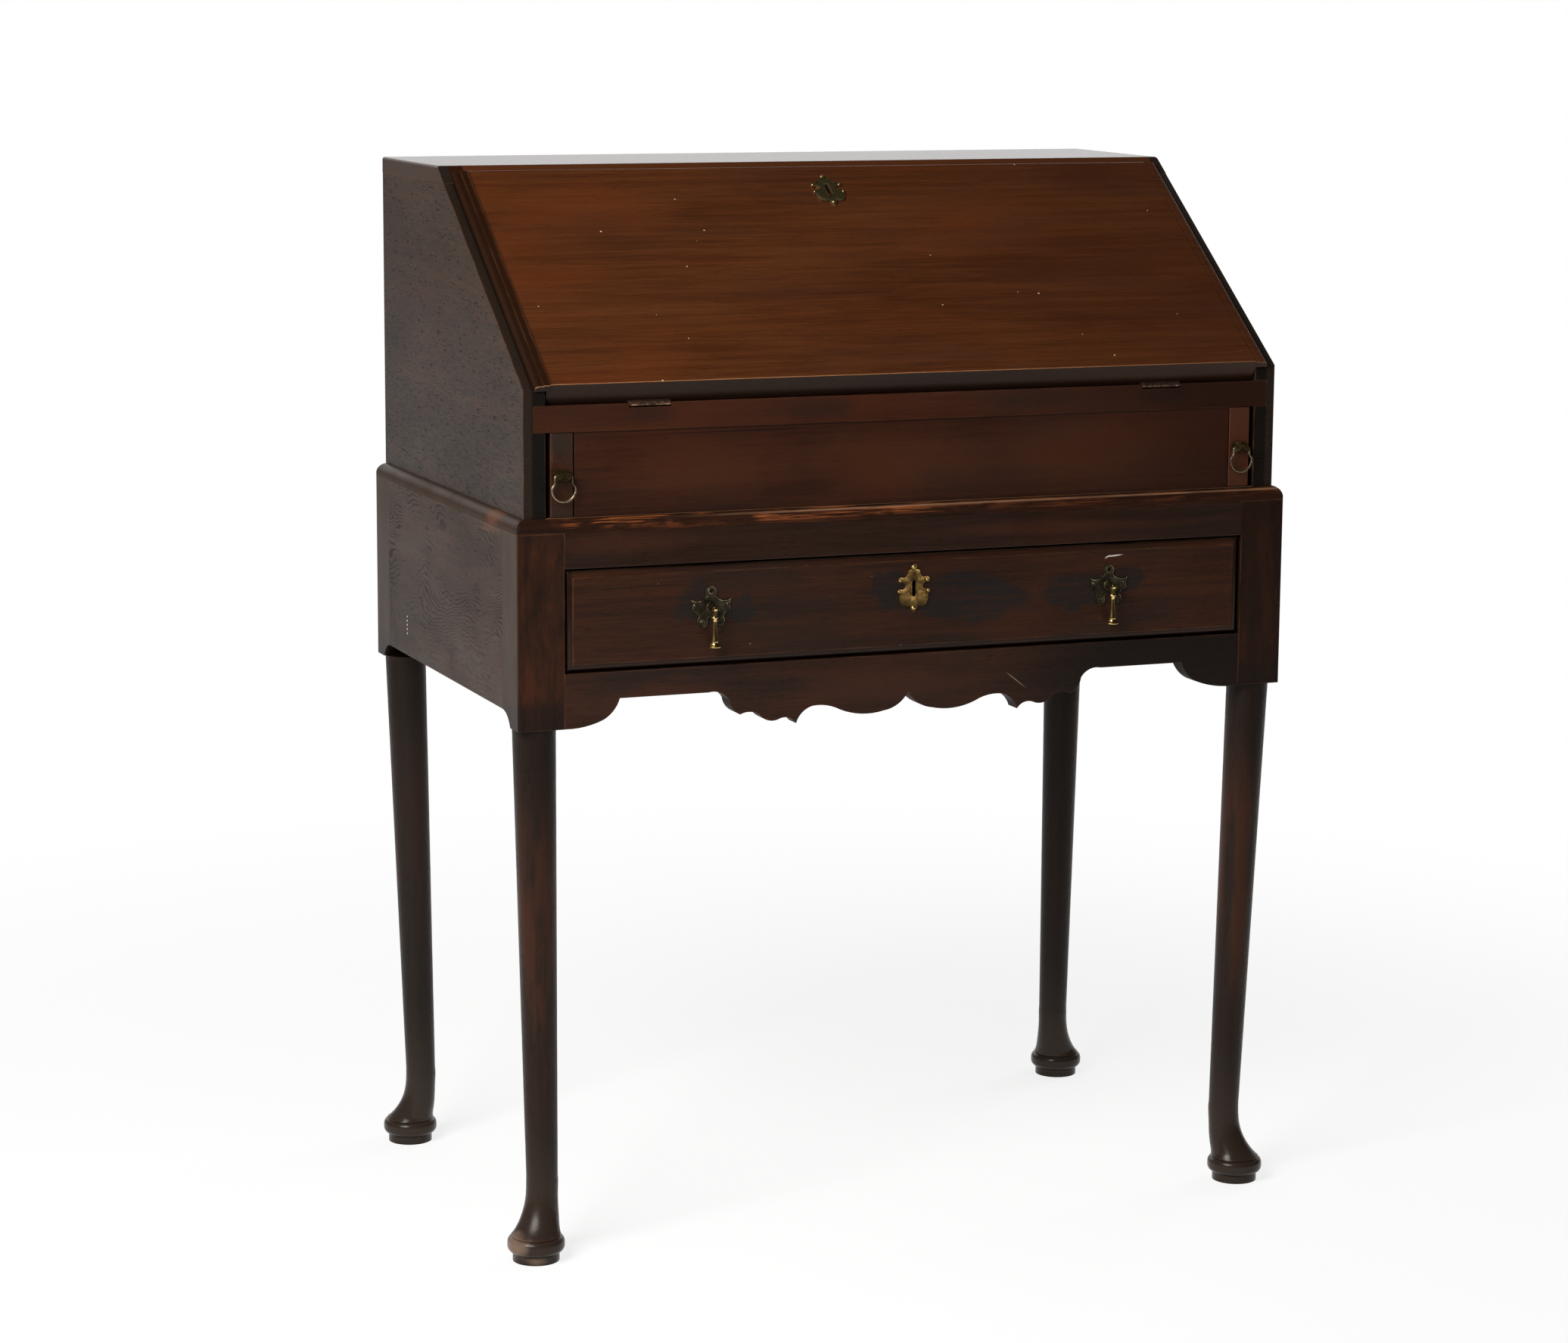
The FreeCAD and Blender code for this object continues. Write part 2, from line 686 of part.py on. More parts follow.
def bail():
    """Swan-necked loop of wire whose ends turn in to the posts, hung from the origin."""
    reach = bail_half_spread + bail_post_radius
    elbow_x = reach + bail_elbow_radius
    scroll_turn = 2 * math.atan((bail_half_width - elbow_x) / bail_scroll_drop)
    scroll_radius = bail_scroll_drop / 2 / math.sin(scroll_turn)
    half_turn = scroll_turn / 2
    top = -bail_elbow_radius
    neck_foot = top - bail_neck_drop
    belly = neck_foot - bail_scroll_drop

    def half_path(side):
        diagonal = math.sqrt(0.5)
        end = V(side * bail_half_spread, 0, 0)
        elbow_start = V(side * reach, 0, 0)
        elbow_middle = V(side * (reach + bail_elbow_radius * diagonal), 0,
                         bail_elbow_radius * (diagonal - 1))
        elbow_end = V(side * elbow_x, 0, top)
        neck_end = V(side * elbow_x, 0, neck_foot)
        first_middle = V(side * (elbow_x + scroll_radius * (1 - math.cos(half_turn))), 0,
                         neck_foot - scroll_radius * math.sin(half_turn))
        change = V(side * (elbow_x + bail_half_width) / 2, 0, (neck_foot + belly) / 2)
        second_middle = V(side * (bail_half_width - scroll_radius * (1 - math.cos(half_turn))), 0,
                          belly + scroll_radius * math.sin(half_turn))
        widest = V(side * bail_half_width, 0, belly)
        return [Part.makeLine(end, elbow_start), arc([elbow_start, elbow_middle, elbow_end]),
                Part.makeLine(elbow_end, neck_end), arc([neck_end, first_middle, change]),
                arc([change, second_middle, widest])]

    bottom = arc([V(bail_half_width, 0, belly), V(0, 0, belly - bail_half_width),
                  V(-bail_half_width, 0, belly)])
    edges = half_path(1) + [bottom] + half_path(-1)
    path = Part.Wire(Part.__sortEdges__(edges))
    start = path.OrderedVertexes[0].Point
    section = Part.Wire([Part.Circle(start, V(1, 0, 0), bail_wire_radius).toShape()])
    return path.makePipeShell([section], True, False)


def bail_posts():
    """Small plate with two round posts bored for the ends of a bail."""
    half_width = bail_plate_width / 2
    half_height = bail_plate_height / 2
    plate = block(-half_width, half_width, -plate_thickness, 0, -half_height, half_height)
    corners = [e for e in plate.Edges if near(e.Vertexes[0].X, e.Vertexes[1].X)
               and near(e.Vertexes[0].Z, e.Vertexes[1].Z)]
    plate = plate.makeFillet(bail_plate_height * bail_plate_round_share, corners)
    for side in (1, -1):
        x = side * bail_half_spread
        post = rod(bail_post_radius, V(x, 0, 0), V(0, -plate_thickness - bail_post_length, 0))
        plate = plate.fuse(post)
    axis_y = -plate_thickness - bail_post_length + bail_post_radius
    bore = rod(bail_wire_radius + bail_clearance, V(bail_half_spread - bail_clearance, axis_y, 0),
               V(bail_post_radius + overrun, 0, 0))
    return plate.cut(bore).cut(mirrored(bore)).removeSplitter(), axis_y


def box_side():
    """Right side of the box, cut to the slope, notched for the rail's end and set under the top board."""
    slope_at_top = (top_underside - corner_height) / math.tan(slope_angle)
    points = [(box_front, box_foot), (box_front, corner_height), (box_front + slope_at_top, top_underside),
              (box_back, top_underside), (box_back, box_foot)]
    side = side_prism(points, inner_half, box_half)
    rebate = block(inner_half - overrun, inner_half + side_thickness / 2, back_face, box_back + overrun,
                   floor_top, top_underside)
    lap = block(inner_half - overrun, inner_half + front_rail_lap, box_front - overrun,
                box_front + front_rail_depth, rail_foot, bed_top)
    return side.cut(rebate).cut(lap)


def top_board():
    """Top, its front edge cut to the slope, with a mortise for the fall's bolt."""
    slope_at_top = (top_underside - corner_height) / math.tan(slope_angle)
    points = [(box_front + slope_at_top, top_underside), (box_front + slope_run, box_top),
              (box_back, box_top), (box_back, top_underside)]
    board = side_prism(points, -box_half, box_half)
    board = board.makeFillet(top_arris, edges_where(board, lambda p: near(p.z, box_top)))
    return board.cut(slope_block(*fall_mortise_box()))


def slope_block(x0, x1, s0, s1, n0, n1):
    """Block with its length up the slope and its thickness out of it."""
    shape = block(x0, x1, s0, s1, n0, n1)
    shape.Placement = slope_place
    return shape


def fall_end(out):
    """How far up the slope the fall's level upper end reaches at a given depth."""
    rise = top_underside - fall_top_gap - corner_height
    return (rise - out * math.cos(slope_angle)) / math.sin(slope_angle)


fall_inner_out = fall_lip - fall_thickness
fall_bolt_out = fall_inner_out + lock_depth / 2
fall_bolt_tip = fall_end(fall_inner_out + lock_depth)
fall_lip_end = fall_end(0) + lip_top_overlap


def fall_mortise_box():
    half = bolt_width / 2 + bolt_clearance
    thick = bolt_thickness / 2 + bolt_clearance
    return (-half, half, fall_bolt_tip - overrun, fall_bolt_tip + fall_bolt_travel + mortise_spare,
            fall_bolt_out - thick, fall_bolt_out + thick)


def writing_box():
    side = box_side()
    bottom = block(-inner_half, inner_half, box_front, box_back, box_foot, floor_top)
    reach = inner_half + side_thickness / 2
    back = block(-reach, reach, back_face, box_back, floor_top, top_underside)
    save("desk_side_right", side)
    save("desk_side_left", mirrored(side))
    save("desk_top", top_board())
    save("desk_bottom", bottom)
    save("desk_back", back)


def hinge_middles():
    middle = inner_half - hinge_inset - hinge_length / 2
    return (-middle, middle)


def front_rail():
    """Rail under the fall, lapped into the sides, gouged for the knuckles and let in for the leaves."""
    reach = inner_half + front_rail_lap
    rail = block(-reach, reach, box_front, box_front + front_rail_depth, rail_foot, bed_top)
    half = hinge_length / 2 + hinge_recess_gap
    groove_radius = knuckle_radius + hinge_recess_gap
    for middle in hinge_middles():
        groove = rod(groove_radius, V(middle - half, pin_y, pin_z), V(2 * half, 0, 0))
        mouth = block(middle - half, middle + half, box_front - overrun, pin_y,
                      pin_z - groove_radius, bed_top + overrun)
        above = block(middle - half, middle + half, pin_y, pin_y + groove_radius, pin_z, bed_top + overrun)
        let_in = block(middle - hinge_length / 2, middle + hinge_length / 2, pin_y, pin_y + leaf_width,
                       bed_top - leaf_thickness, bed_top + overrun)
        rail = rail.cut(groove).cut(mouth).cut(above).cut(let_in)
    return rail


def well_front():
    """Plain fixed panel between the lopers."""
    return block(-well_half, well_half, box_front, box_front + well_front_thickness, floor_top, rail_foot)


def loper_guide():
    """Board between loper and well, notched under the front rail and reaching up to the bed."""
    front = box_front + well_front_thickness
    notch = box_front + front_rail_depth
    points = [(front, floor_top), (front, rail_foot), (notch, rail_foot), (notch, bed_underside),
              (back_face, bed_underside), (back_face, floor_top)]
    return side_prism(points, guide_inner, well_half)


def slide_section(clear):
    """Right-left section of the well's lid with its tongues, grown by a clearance."""
    half = slide_width / 2 + clear
    middle = (bed_top + bed_underside) / 2
    tongue = slide_tongue_thickness / 2 + clear
    return half, half + slide_tongue, middle - tongue, middle + tongue


def writing_bed():
    """Bed board with the channel that the well's lid slides back in."""
    front = box_front + front_rail_depth
    board = block(-inner_half, inner_half, front, back_face, bed_underside, bed_top)
    half, tongue_half, low, high = slide_section(slide_clearance)
    channel_front = slide_front - slide_clearance
    channel_back = back_face - slide_back_space
    opening = block(-half, half, channel_front, channel_back, bed_underside - overrun, bed_top + overrun)
    groove = block(-tongue_half, tongue_half, channel_front, channel_back, low, high)
    return board.cut(opening).cut(groove)


def well_slide():
    """Lid of the well with a hollow for a finger."""
    half, tongue_half, low, high = slide_section(0)
    back = slide_front + slide_length
    lid = block(-half, half, slide_front, back, bed_underside, bed_top)
    lid = lid.fuse(block(-tongue_half, tongue_half, slide_front, back, low, high))
    start = slide_front + slide_finger_length
    hollow = block(-slide_finger_width / 2, slide_finger_width / 2, start, start + slide_finger_length,
                   bed_top - slide_finger_depth, bed_top + overrun)
    rounded = [e for e in hollow.Edges if near(e.Vertexes[0].X, e.Vertexes[1].X)
               and near(e.Vertexes[0].Y, e.Vertexes[1].Y)]
    hollow = hollow.makeFillet(slide_finger_length * slide_finger_round_share, rounded)
    return lid.cut(hollow).removeSplitter()


def loper():
    """Right-hand pull-out arm that carries the open fall."""
    arm = block(loper_inner, loper_outer, box_front, box_front + loper_length, loper_foot, loper_top)
    return arm.makeFillet(loper_arris, edges_where(arm, lambda p: near(p.y, box_front)))


def gallery():
    """Boards of the fitted interior: base, shelf, drawer dividers and pigeonhole partitions."""
    base = block(-inner_half, inner_half, gallery_front, back_face, bed_top, bed_top + gallery_board)
    shelf = block(-inner_half, inner_half, gallery_front, back_face, shelf_foot, pigeon_floor)
    half = gallery_board / 2
    dividers = []
    for i in range(1, inner_drawer_count):
        x = -inner_half + 2 * inner_half * i / inner_drawer_count
        dividers.append(block(x - half, x + half, gallery_front, back_face,
                              bed_top + gallery_board, shelf_foot))
    scoop_height = (pigeon_floor + top_underside) / 2
    partitions = []
    for i in range(1, pigeonhole_count):
        x = -inner_half + 2 * inner_half * i / pigeonhole_count
        board = block(x - half, x + half, gallery_front, back_face, pigeon_floor, top_underside)
        scoop_radius = (top_underside - pigeon_floor) / 2
        scoop = rod(scoop_radius,
                    V(x - half - overrun, gallery_front - scoop_radius + arch_depth, scoop_height),
                    V(gallery_board + 2 * overrun, 0, 0))
        partitions.append(board.cut(scoop))
    save("gallery_base", base)
    save("gallery_shelf", shelf)
    save("inner_drawer_dividers", *dividers)
    save("pigeonhole_partitions", *partitions)


def inner_drawer(middle, half):
    """Small drawer in three nodes: front, box of four boards, and turned knob."""
    z0 = bed_top + gallery_board + inner_drawer_gap / 2
    z1 = shelf_foot - inner_drawer_gap
    front_back = gallery_front + inner_drawer_front
    back = gallery_front + inner_drawer_length
    front = block(middle - half, middle + half, gallery_front, front_back, z0, z1)
    side_top = z1 - inner_drawer_side_drop
    inner = half - inner_drawer_wall
    floor = z0 + inner_drawer_bottom
    boards = [block(middle - half, middle - inner, front_back, back, floor, side_top),
              block(middle + inner, middle + half, front_back, back, floor, side_top),
              block(middle - inner, middle + inner, back - inner_drawer_wall, back, floor, side_top),
              block(middle - half, middle + half, front_back, back, z0, floor)]
    z = (z0 + z1) / 2
    neck = rod(knob_neck_radius, V(middle, gallery_front, z), V(0, -knob_neck_length, 0))
    head = rod(knob_radius, V(middle, gallery_front - knob_neck_length, z),
               V(0, knob_neck_length - knob_length, 0))
    rims = [e for e in head.Edges if len(e.Vertexes) == 1]
    head = head.makeFillet((knob_length - knob_neck_length) * knob_round_share, rims)
    return front, boards, neck.fuse(head)


def inner_drawers():
    bay = 2 * inner_half / inner_drawer_count
    names = ("left", "centre", "right")
    for i, name in enumerate(names):
        low = -inner_half + bay * i + (gallery_board / 2 if i > 0 else 0)
        high = -inner_half + bay * (i + 1) - (gallery_board / 2 if i < inner_drawer_count - 1 else 0)
        front, boards, knob = inner_drawer((low + high) / 2, (high - low) / 2 - inner_drawer_gap)
        save("inner_drawer_%s_front" % name, front)
        save("inner_drawer_%s_box" % name, *boards)
        save("inner_drawer_%s_knob" % name, knob)


def knuckle_spans(for_fall):
    """X spans, from one end of the barrel, of the knuckles on one leaf."""
    pitch = hinge_length / knuckle_count
    return [(i * pitch + knuckle_gap / 2, (i + 1) * pitch - knuckle_gap / 2)
            for i in range(knuckle_count) if (i % 2 == 1) == for_fall]


def hinge_leaf(for_fall):
    """One leaf with its knuckles about the origin, plate towards +Y under Z = its surface."""
    surface = (pin_out - fall_inner_out) if for_fall else (bed_top - pin_z)
    if for_fall:
        plate = block(0, hinge_length, 0, leaf_width, -surface, leaf_thickness - surface)
    else:
        plate = block(0, hinge_length, 0, leaf_width, surface - leaf_thickness, surface)
    tube = None
    for x0, x1 in knuckle_spans(for_fall):
        knuckle = rod(knuckle_radius, V(x0, 0, 0), V(x1 - x0, 0, 0))
        tube = knuckle if tube is None else tube.fuse(knuckle)
    gap = knuckle_radius + knuckle_gap
    for x0, x1 in knuckle_spans(not for_fall):
        plate = plate.cut(rod(gap, V(x0 - knuckle_gap, 0, 0), V(x1 - x0 + 2 * knuckle_gap, 0, 0)))
    ends = block(-overrun, hinge_length + overrun, -gap, 0, -gap, gap)
    leaf = plate.cut(ends).fuse(tube)
    bore = rod(pin_radius + pin_clearance, V(-overrun, 0, 0), V(hinge_length + 2 * overrun, 0, 0))
    return leaf.cut(bore).removeSplitter()


def hinges():
    fall_leaves = []
    case_leaves = []
    pins = []
    for middle in hinge_middles():
        corner = V(middle - hinge_length / 2, pin_y, pin_z)
        case_leaf = hinge_leaf(False)
        case_leaf.translate(corner)
        case_leaves.append(case_leaf)
        fall_leaf = hinge_leaf(True)
        fall_leaf.Placement = FreeCAD.Placement(corner, slope_place.Rotation)
        fall_leaves.append(fall_leaf)
        pins.append(rod(pin_radius, corner, V(hinge_length, 0, 0)))
    save("fall_hinge_leaves", *fall_leaves)
    save("case_hinge_leaves", *case_leaves)
    save("hinge_pins", *pins)


def lip_plate(inset, out0, out1, radius):
    """One step of the moulded lip, rounded along its two sides."""
    half = fall_half - inset
    plate = block(-half, half, -fall_foot, fall_lip_end, out0, out1)
    sides = [e for side in (half, -half)
             for e in edges_where(plate, lambda p: near(p.z, out1) and near(p.x, side))]
    return plate.makeFillet(radius, sides)


def lip_top_round():
    """Cutter that rounds the upper arris of the lip from side to side."""
    half = fall_half + overrun
    end = fall_lip_end - lip_edge_radius
    out = fall_lip - lip_edge_radius
    waste = block(-half, half, end, fall_lip_end + overrun, out, fall_lip + overrun)
    return waste.cut(rod(lip_edge_radius, V(-half, end, out), V(2 * half, 0, 0)))


def fall_board():
    """The fall: body between the sides, stepped and rounded lip over them."""
    half = inner_half - fall_side_gap
    body_points = [(-fall_foot, fall_inner_out), (-fall_foot, fall_seat_gap),
                   (fall_end(fall_seat_gap), fall_seat_gap), (fall_end(fall_inner_out), fall_inner_out)]
    board = side_prism(body_points, -half, half)
    base_top = fall_lip - 2 * step_height
    board = board.fuse(lip_plate(0, fall_seat_gap, base_top, lip_edge_radius))
    board = board.fuse(lip_plate(first_step_inset, base_top, base_top + step_height, step_height / 2))
    board = board.fuse(lip_plate(second_step_inset, base_top + step_height, fall_lip, step_height / 2))
    for middle in hinge_middles():
        let_in = block(middle - hinge_length / 2, middle + hinge_length / 2, -fall_foot - overrun,
                       pin_along + leaf_width, fall_inner_out - overrun, fall_inner_out + leaf_thickness)
        board = board.cut(let_in)
    lock_end = fall_bolt_tip - bolt_clearance
    lock_room = block(-lock_width / 2 - bolt_clearance, lock_width / 2 + bolt_clearance,
                      lock_end - lock_height, fall_end(fall_inner_out) + overrun,
                      fall_inner_out - overrun, fall_inner_out + lock_depth)
    hole = keyhole(fall_thickness + 2 * overrun)
    hole.rotate(V(0, 0, 0), V(1, 0, 0), -90)
    hole.translate(V(0, fall_lip_end - fall_escutcheon_drop, fall_lip + overrun))
    board = board.cut(lock_room).cut(hole).cut(lip_top_round())
    board.Placement = slope_place
    return board


def fall_lock():
    end = fall_bolt_tip - bolt_clearance
    start = end - lock_height + bolt_clearance
    case = block(-lock_width / 2, lock_width / 2, start, end, fall_inner_out, fall_inner_out + lock_depth)
    half = bolt_width / 2 + bolt_clearance
    thick = bolt_thickness / 2 + bolt_clearance
    channel = block(-half, half, fall_bolt_tip - bolt_length - bolt_clearance, end + overrun,
                    fall_bolt_out - thick, fall_bolt_out + thick)
    case = case.cut(channel)
    case.Placement = slope_place
    bolt = slope_block(-bolt_width / 2, bolt_width / 2, fall_bolt_tip - bolt_length, fall_bolt_tip,
                       fall_bolt_out - bolt_thickness / 2, fall_bolt_out + bolt_thickness / 2)
    return case, bolt


def fall_fittings():
    save("fall_board", fall_board())
    case, bolt = fall_lock()
    save("fall_lock", case)
    save("fall_lock_bolt", bolt)
    plate = escutcheon()
    plate.rotate(V(0, 0, 0), V(1, 0, 0), -90)
    plate.translate(V(0, fall_lip_end - fall_escutcheon_drop, fall_lip))
    plate.Placement = slope_place.multiply(plate.Placement)
    save("fall_escutcheon", plate)


def stand():
    envelope = stand_envelope()
    for y_side, y_name in ((-1, "front"), (1, "back")):
        for x_side, x_name in ((-1, "left"), (1, "right")):
            save("leg_%s_%s" % (y_name, x_name), leg(envelope, x_side, y_side))
    rail = side_rail(envelope)
    save("stand_side_right", rail)
    save("stand_side_left", mirrored(rail))
    save("stand_back_rail", back_rail(envelope))
    save("stand_top_rail", top_rail(envelope))
    save("stand_rim", *stand_rim(envelope))
    save("apron", apron())
    runner, guide, kicker = drawer_supports()
    save("drawer_runners", runner, mirrored(runner))
    save("drawer_guides", guide, mirrored(guide), kicker, mirrored(kicker))


def stand_drawer():
    save("drawer_front", drawer_front())
    side = drawer_side()
    save("drawer_side_right", side)
    save("drawer_side_left", mirrored(side))
    save("drawer_back", drawer_back())
    save("drawer_bottom", drawer_bottom())
    save("drawer_lock", lock_case(0, drawer_rear_face, drawer_top))
    save("drawer_lock_bolt", lock_bolt(0, drawer_rear_face, drawer_top))
    plate = escutcheon()
    plate.translate(V(0, drawer_face, drawer_top - drawer_escutcheon_drop))
    save("drawer_escutcheon", plate)


def drawer_pulls():
    z = drawer_foot + (drawer_top - drawer_foot) * pull_height_share
    plates = []
    posts = []
    for x, name in ((-pull_spread, "left"), (pull_spread, "right")):
        plate = rosette()
        plate.translate(V(x, drawer_face, z))
        plates.append(plate)
        post = pull_post()
        post.translate(V(x, drawer_face, z))
        posts.append(post)
        drop = hanging_drop()
        drop.translate(V(x, drawer_face - drop_axis_out, z))
        save("drop_" + name, drop)
    save("drop_pull_plates", *plates)
    save("drop_pull_posts", *posts)


def lopers():
    arm = loper()
    save("loper_right", arm)
    save("loper_left", mirrored(arm))
    z = (loper_foot + loper_top) / 2
    for x, name in ((-loper_middle, "left"), (loper_middle, "right")):
        posts, axis_y = bail_posts()
        posts.translate(V(x, box_front, z))
        save("loper_pull_" + name, posts)
        loop = bail()
        loop.translate(V(x, box_front + axis_y, z))
        save("loper_bail_" + name, loop)


os.makedirs("parts", exist_ok=True)
stand()
stand_drawer()
drawer_pulls()
writing_box()
save("desk_front_rail", front_rail())
save("well_front", well_front())
save("loper_guides", loper_guide(), mirrored(loper_guide()))
save("writing_bed", writing_bed())
save("well_slide", well_slide())
gallery()
inner_drawers()
fall_fittings()
hinges()
lopers()
print("hinge axis", round(pin_y, 3), round(pin_z, 3))
print("fall opens to %.3f degrees" % fall_opening())
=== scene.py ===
"""Bureau on stand: wood, brass and iron finishes, small brasswork, studio and camera."""
import math

import bmesh
import bpy
from bpy.props import FloatProperty, FloatVectorProperty, IntProperty, PointerProperty
from bpy.types import Operator, Panel, PropertyGroup
from mathutils import Matrix, Vector


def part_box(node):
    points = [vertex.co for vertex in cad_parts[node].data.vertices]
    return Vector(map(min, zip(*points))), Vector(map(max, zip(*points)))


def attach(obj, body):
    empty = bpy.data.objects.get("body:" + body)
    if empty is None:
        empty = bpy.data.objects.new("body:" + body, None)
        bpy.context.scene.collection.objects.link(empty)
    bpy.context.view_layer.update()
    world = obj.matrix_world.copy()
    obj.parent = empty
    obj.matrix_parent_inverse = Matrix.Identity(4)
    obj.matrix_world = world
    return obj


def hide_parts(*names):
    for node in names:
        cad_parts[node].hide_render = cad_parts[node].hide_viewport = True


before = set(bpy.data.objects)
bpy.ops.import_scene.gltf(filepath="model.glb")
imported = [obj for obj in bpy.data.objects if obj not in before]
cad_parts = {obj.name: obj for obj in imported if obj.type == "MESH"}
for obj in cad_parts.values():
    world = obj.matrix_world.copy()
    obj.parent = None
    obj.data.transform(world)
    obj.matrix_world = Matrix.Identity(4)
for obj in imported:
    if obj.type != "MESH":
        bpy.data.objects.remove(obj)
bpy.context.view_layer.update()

bl_info = {
    "name": "Bureau on Stand",
    "version": (1, 0, 0),
    "blender": (4, 5, 0),
    "location": "3D View > Sidebar > Bureau",
    "description": "Finishes and details a slant-front bureau on its turned stand",
    "category": "Object",
}

# Nodes of the frame that share a finish
LEGS = ("leg_front_left", "leg_front_right", "leg_back_left", "leg_back_right")
INSIDE_LONG = ("writing_bed", "well_slide", "gallery_base", "gallery_shelf", "inner_drawer_left_front",
               "inner_drawer_centre_front", "inner_drawer_right_front")
INSIDE_DEEP = ("inner_drawer_dividers", "pigeonhole_partitions")
OAK_LONG = ("stand_back_rail", "desk_back", "desk_bottom", "drawer_back", "drawer_bottom")
OAK_DEEP = ("drawer_runners", "drawer_guides", "loper_guides", "drawer_side_left", "drawer_side_right",
            "inner_drawer_left_box", "inner_drawer_centre_box", "inner_drawer_right_box")
KNOBS = ("inner_drawer_left_knob", "inner_drawer_centre_knob", "inner_drawer_right_knob")
DARK_BRASS = ("loper_pull_left", "loper_pull_right", "drop_pull_posts")
BAILS = ("loper_bail_left", "loper_bail_right")
DROPS = ("drop_left", "drop_right")
HINGES = ("fall_hinge_leaves", "case_hinge_leaves", "hinge_pins")
LOCKS = ("drawer_lock", "drawer_lock_bolt", "fall_lock", "fall_lock_bolt")

# Directions in the shared frame, X to the right and Y to the back
RIGHT = Vector((1.0, 0.0, 0.0))
FRONT = Vector((0.0, -1.0, 0.0))
UP = Vector((0.0, 0.0, 1.0))

# Points closer than this are welded; edges are rounded from one angle and kept sharp from the other
WELD_REACH = 2e-6
ARRIS_ANGLE = math.radians(38)
SHARP_ANGLE = math.radians(40)

# Between these limits of its direction a face comes to count as looking to the front or aside
LOOKS_FRONT = (-0.25, -0.5)
LOOKS_ASIDE = (0.35, 0.75)

# Colours of single marks: what the polish hides, what lies on it and what fills a hollow, and painted shade
# and highlight
RUBBED_ORANGE_AND_HIGHLIGHT = (0.29, 0.080, 0.022)
RIM_BARE = (0.110, 0.038, 0.019)
RIM_PALE_WEAR_AND_GLINT = (0.34, 0.17, 0.09)
RAIL_WARM = (0.046, 0.0130, 0.0052)
APRON_WARM = (0.046, 0.0140, 0.0058)
APRON_SCRATCH = (0.26, 0.18, 0.12)
SAWN_EDGE = ((0.010, 0.0052, 0.0034), (0.006, 0.0034, 0.0024))
LEG_WARM = (0.038, 0.0115, 0.0044)
POST_WARM = (0.052, 0.0135, 0.0052)
BACK_LEG_SHADE = (0.0120, 0.0085, 0.0064)
FOOT_CHIP = (0.31, 0.200, 0.140)
FOOT_DUST = (0.040, 0.028, 0.021)
SIDE_BARE = (0.10, 0.040, 0.022)
PIN_HEAD = (0.70, 0.66, 0.60)
HANDLED_DARK = (0.0095, 0.0082, 0.0080)
DRAWER_SCRATCH = (0.62, 0.55, 0.48)
DRAWER_ARRIS = (0.17, 0.115, 0.078)
DRAWER_SPECK = (0.42, 0.32, 0.24)
BOX_EDGE = (0.0155, 0.0105, 0.0080)
LIP_SHADOW = (0.004, 0.003, 0.0025)
BOX_RAIL_RED = (0.044, 0.0120, 0.0046)
BOX_RAIL_STAIN = (0.014, 0.0076, 0.0058)
WELL_WARM = (0.050, 0.0140, 0.0046)
WELL_CRACK = (0.004, 0.002, 0.002)
LOPER_ARRIS = (0.130, 0.044, 0.019)
LOPER_TOP = (0.020, 0.0130, 0.0100)
LOPER_FOOT = (0.022, 0.0120, 0.0085)
LOPER_RIGHT = (0.074, 0.0205, 0.0076)
FALL_BACK_AND_EDGE_SHADE = (0.014, 0.010, 0.0075)
FALL_FOOT = (0.42, 0.190, 0.085)
FALL_CHIP = (0.72, 0.52, 0.27)

# Rubbed and tarnished colours of single metals
OLD_BRASS, OLD_TARNISH = (0.50, 0.40, 0.25), (0.085, 0.066, 0.042)
HINGE_BRASS, HINGE_TARNISH = (0.42, 0.235, 0.150), (0.085, 0.050, 0.036)
GOLD_PLATE = ((0.66, 0.40, 0.13), (0.13, 0.066, 0.024))
OLIVE_PLATE = ((0.74, 0.58, 0.26), (0.150, 0.110, 0.045))
DARK_PLATE = ((0.56, 0.47, 0.27), (0.040, 0.033, 0.021))

# Studs of the keyhole plates and the rosettes, as shares of a plate's half width and half height
NAIL_SPOTS = ((0.0, 0.885), (0.0, -0.80))
CURL_SPOTS = ((0.84, 0.34), (-0.84, 0.34), (0.90, -0.11), (-0.90, -0.11))
LOBE_SPOTS = ((0.42, -0.74), (-0.42, -0.74))
ARM_SPOTS = ((0.80, 0.12), (-0.80, 0.12))

# Radii of the beads round the rosettes' lobes, and of the wires they are made of
TOP_LOBE, SIDE_LOBE = 0.0027, 0.0023
LOBE_WIRE, COLLAR_WIRE = 0.0007, 0.0009

# Screws along a hinge leaf, as shares of its length and of its depth
SCREW_SPOTS = ((0.18, 0.40), (0.5, 0.62), (0.82, 0.40))

# Polish reflects a little warmer than white; the world and the floor's rim are plain white
WARM_SHINE = (1.0, 0.95, 0.88)
WHITE = (1.0, 1.0, 1.0)

# Lamps: name, place, point aimed at, width and height, setting of the power, whether polish shows it
LAMPS = (
    ("Key lamp", (-1.9, -1.4, 1.95), (0.0, 0.0, 0.65), (1.3, 1.2), "key_power", True),
    ("Back lamp", (0.60, 3.4, 1.75), (0.0, 0.1, 0.95), (4.6, 1.5), "back_power", True),
    ("Side lamp", (2.6, 1.1, 1.2), (0.0, 0.0, 0.70), (1.4, 1.4), "side_power", False),
)


# Settings

def colour(label, description, default):
    return FloatVectorProperty(name=label, description=description, subtype="COLOR", size=3,
                               min=0.0, max=1.0, default=default)


def figure(label, shade, wood, default):
    return colour(label + ", " + shade, shade.capitalize() + " figure of " + wood, default)


def length(label, description, default):
    return FloatProperty(name=label, description=description, default=default, min=0.0,
                         subtype="DISTANCE", unit="LENGTH", precision=5)


def light_level(label, description, default):
    return FloatProperty(name=label, description=description, default=default, min=0.0)


def power(label, description, default):
    return FloatProperty(name=label, description=description, default=default, min=0.0,
                         subtype="POWER", unit="POWER")


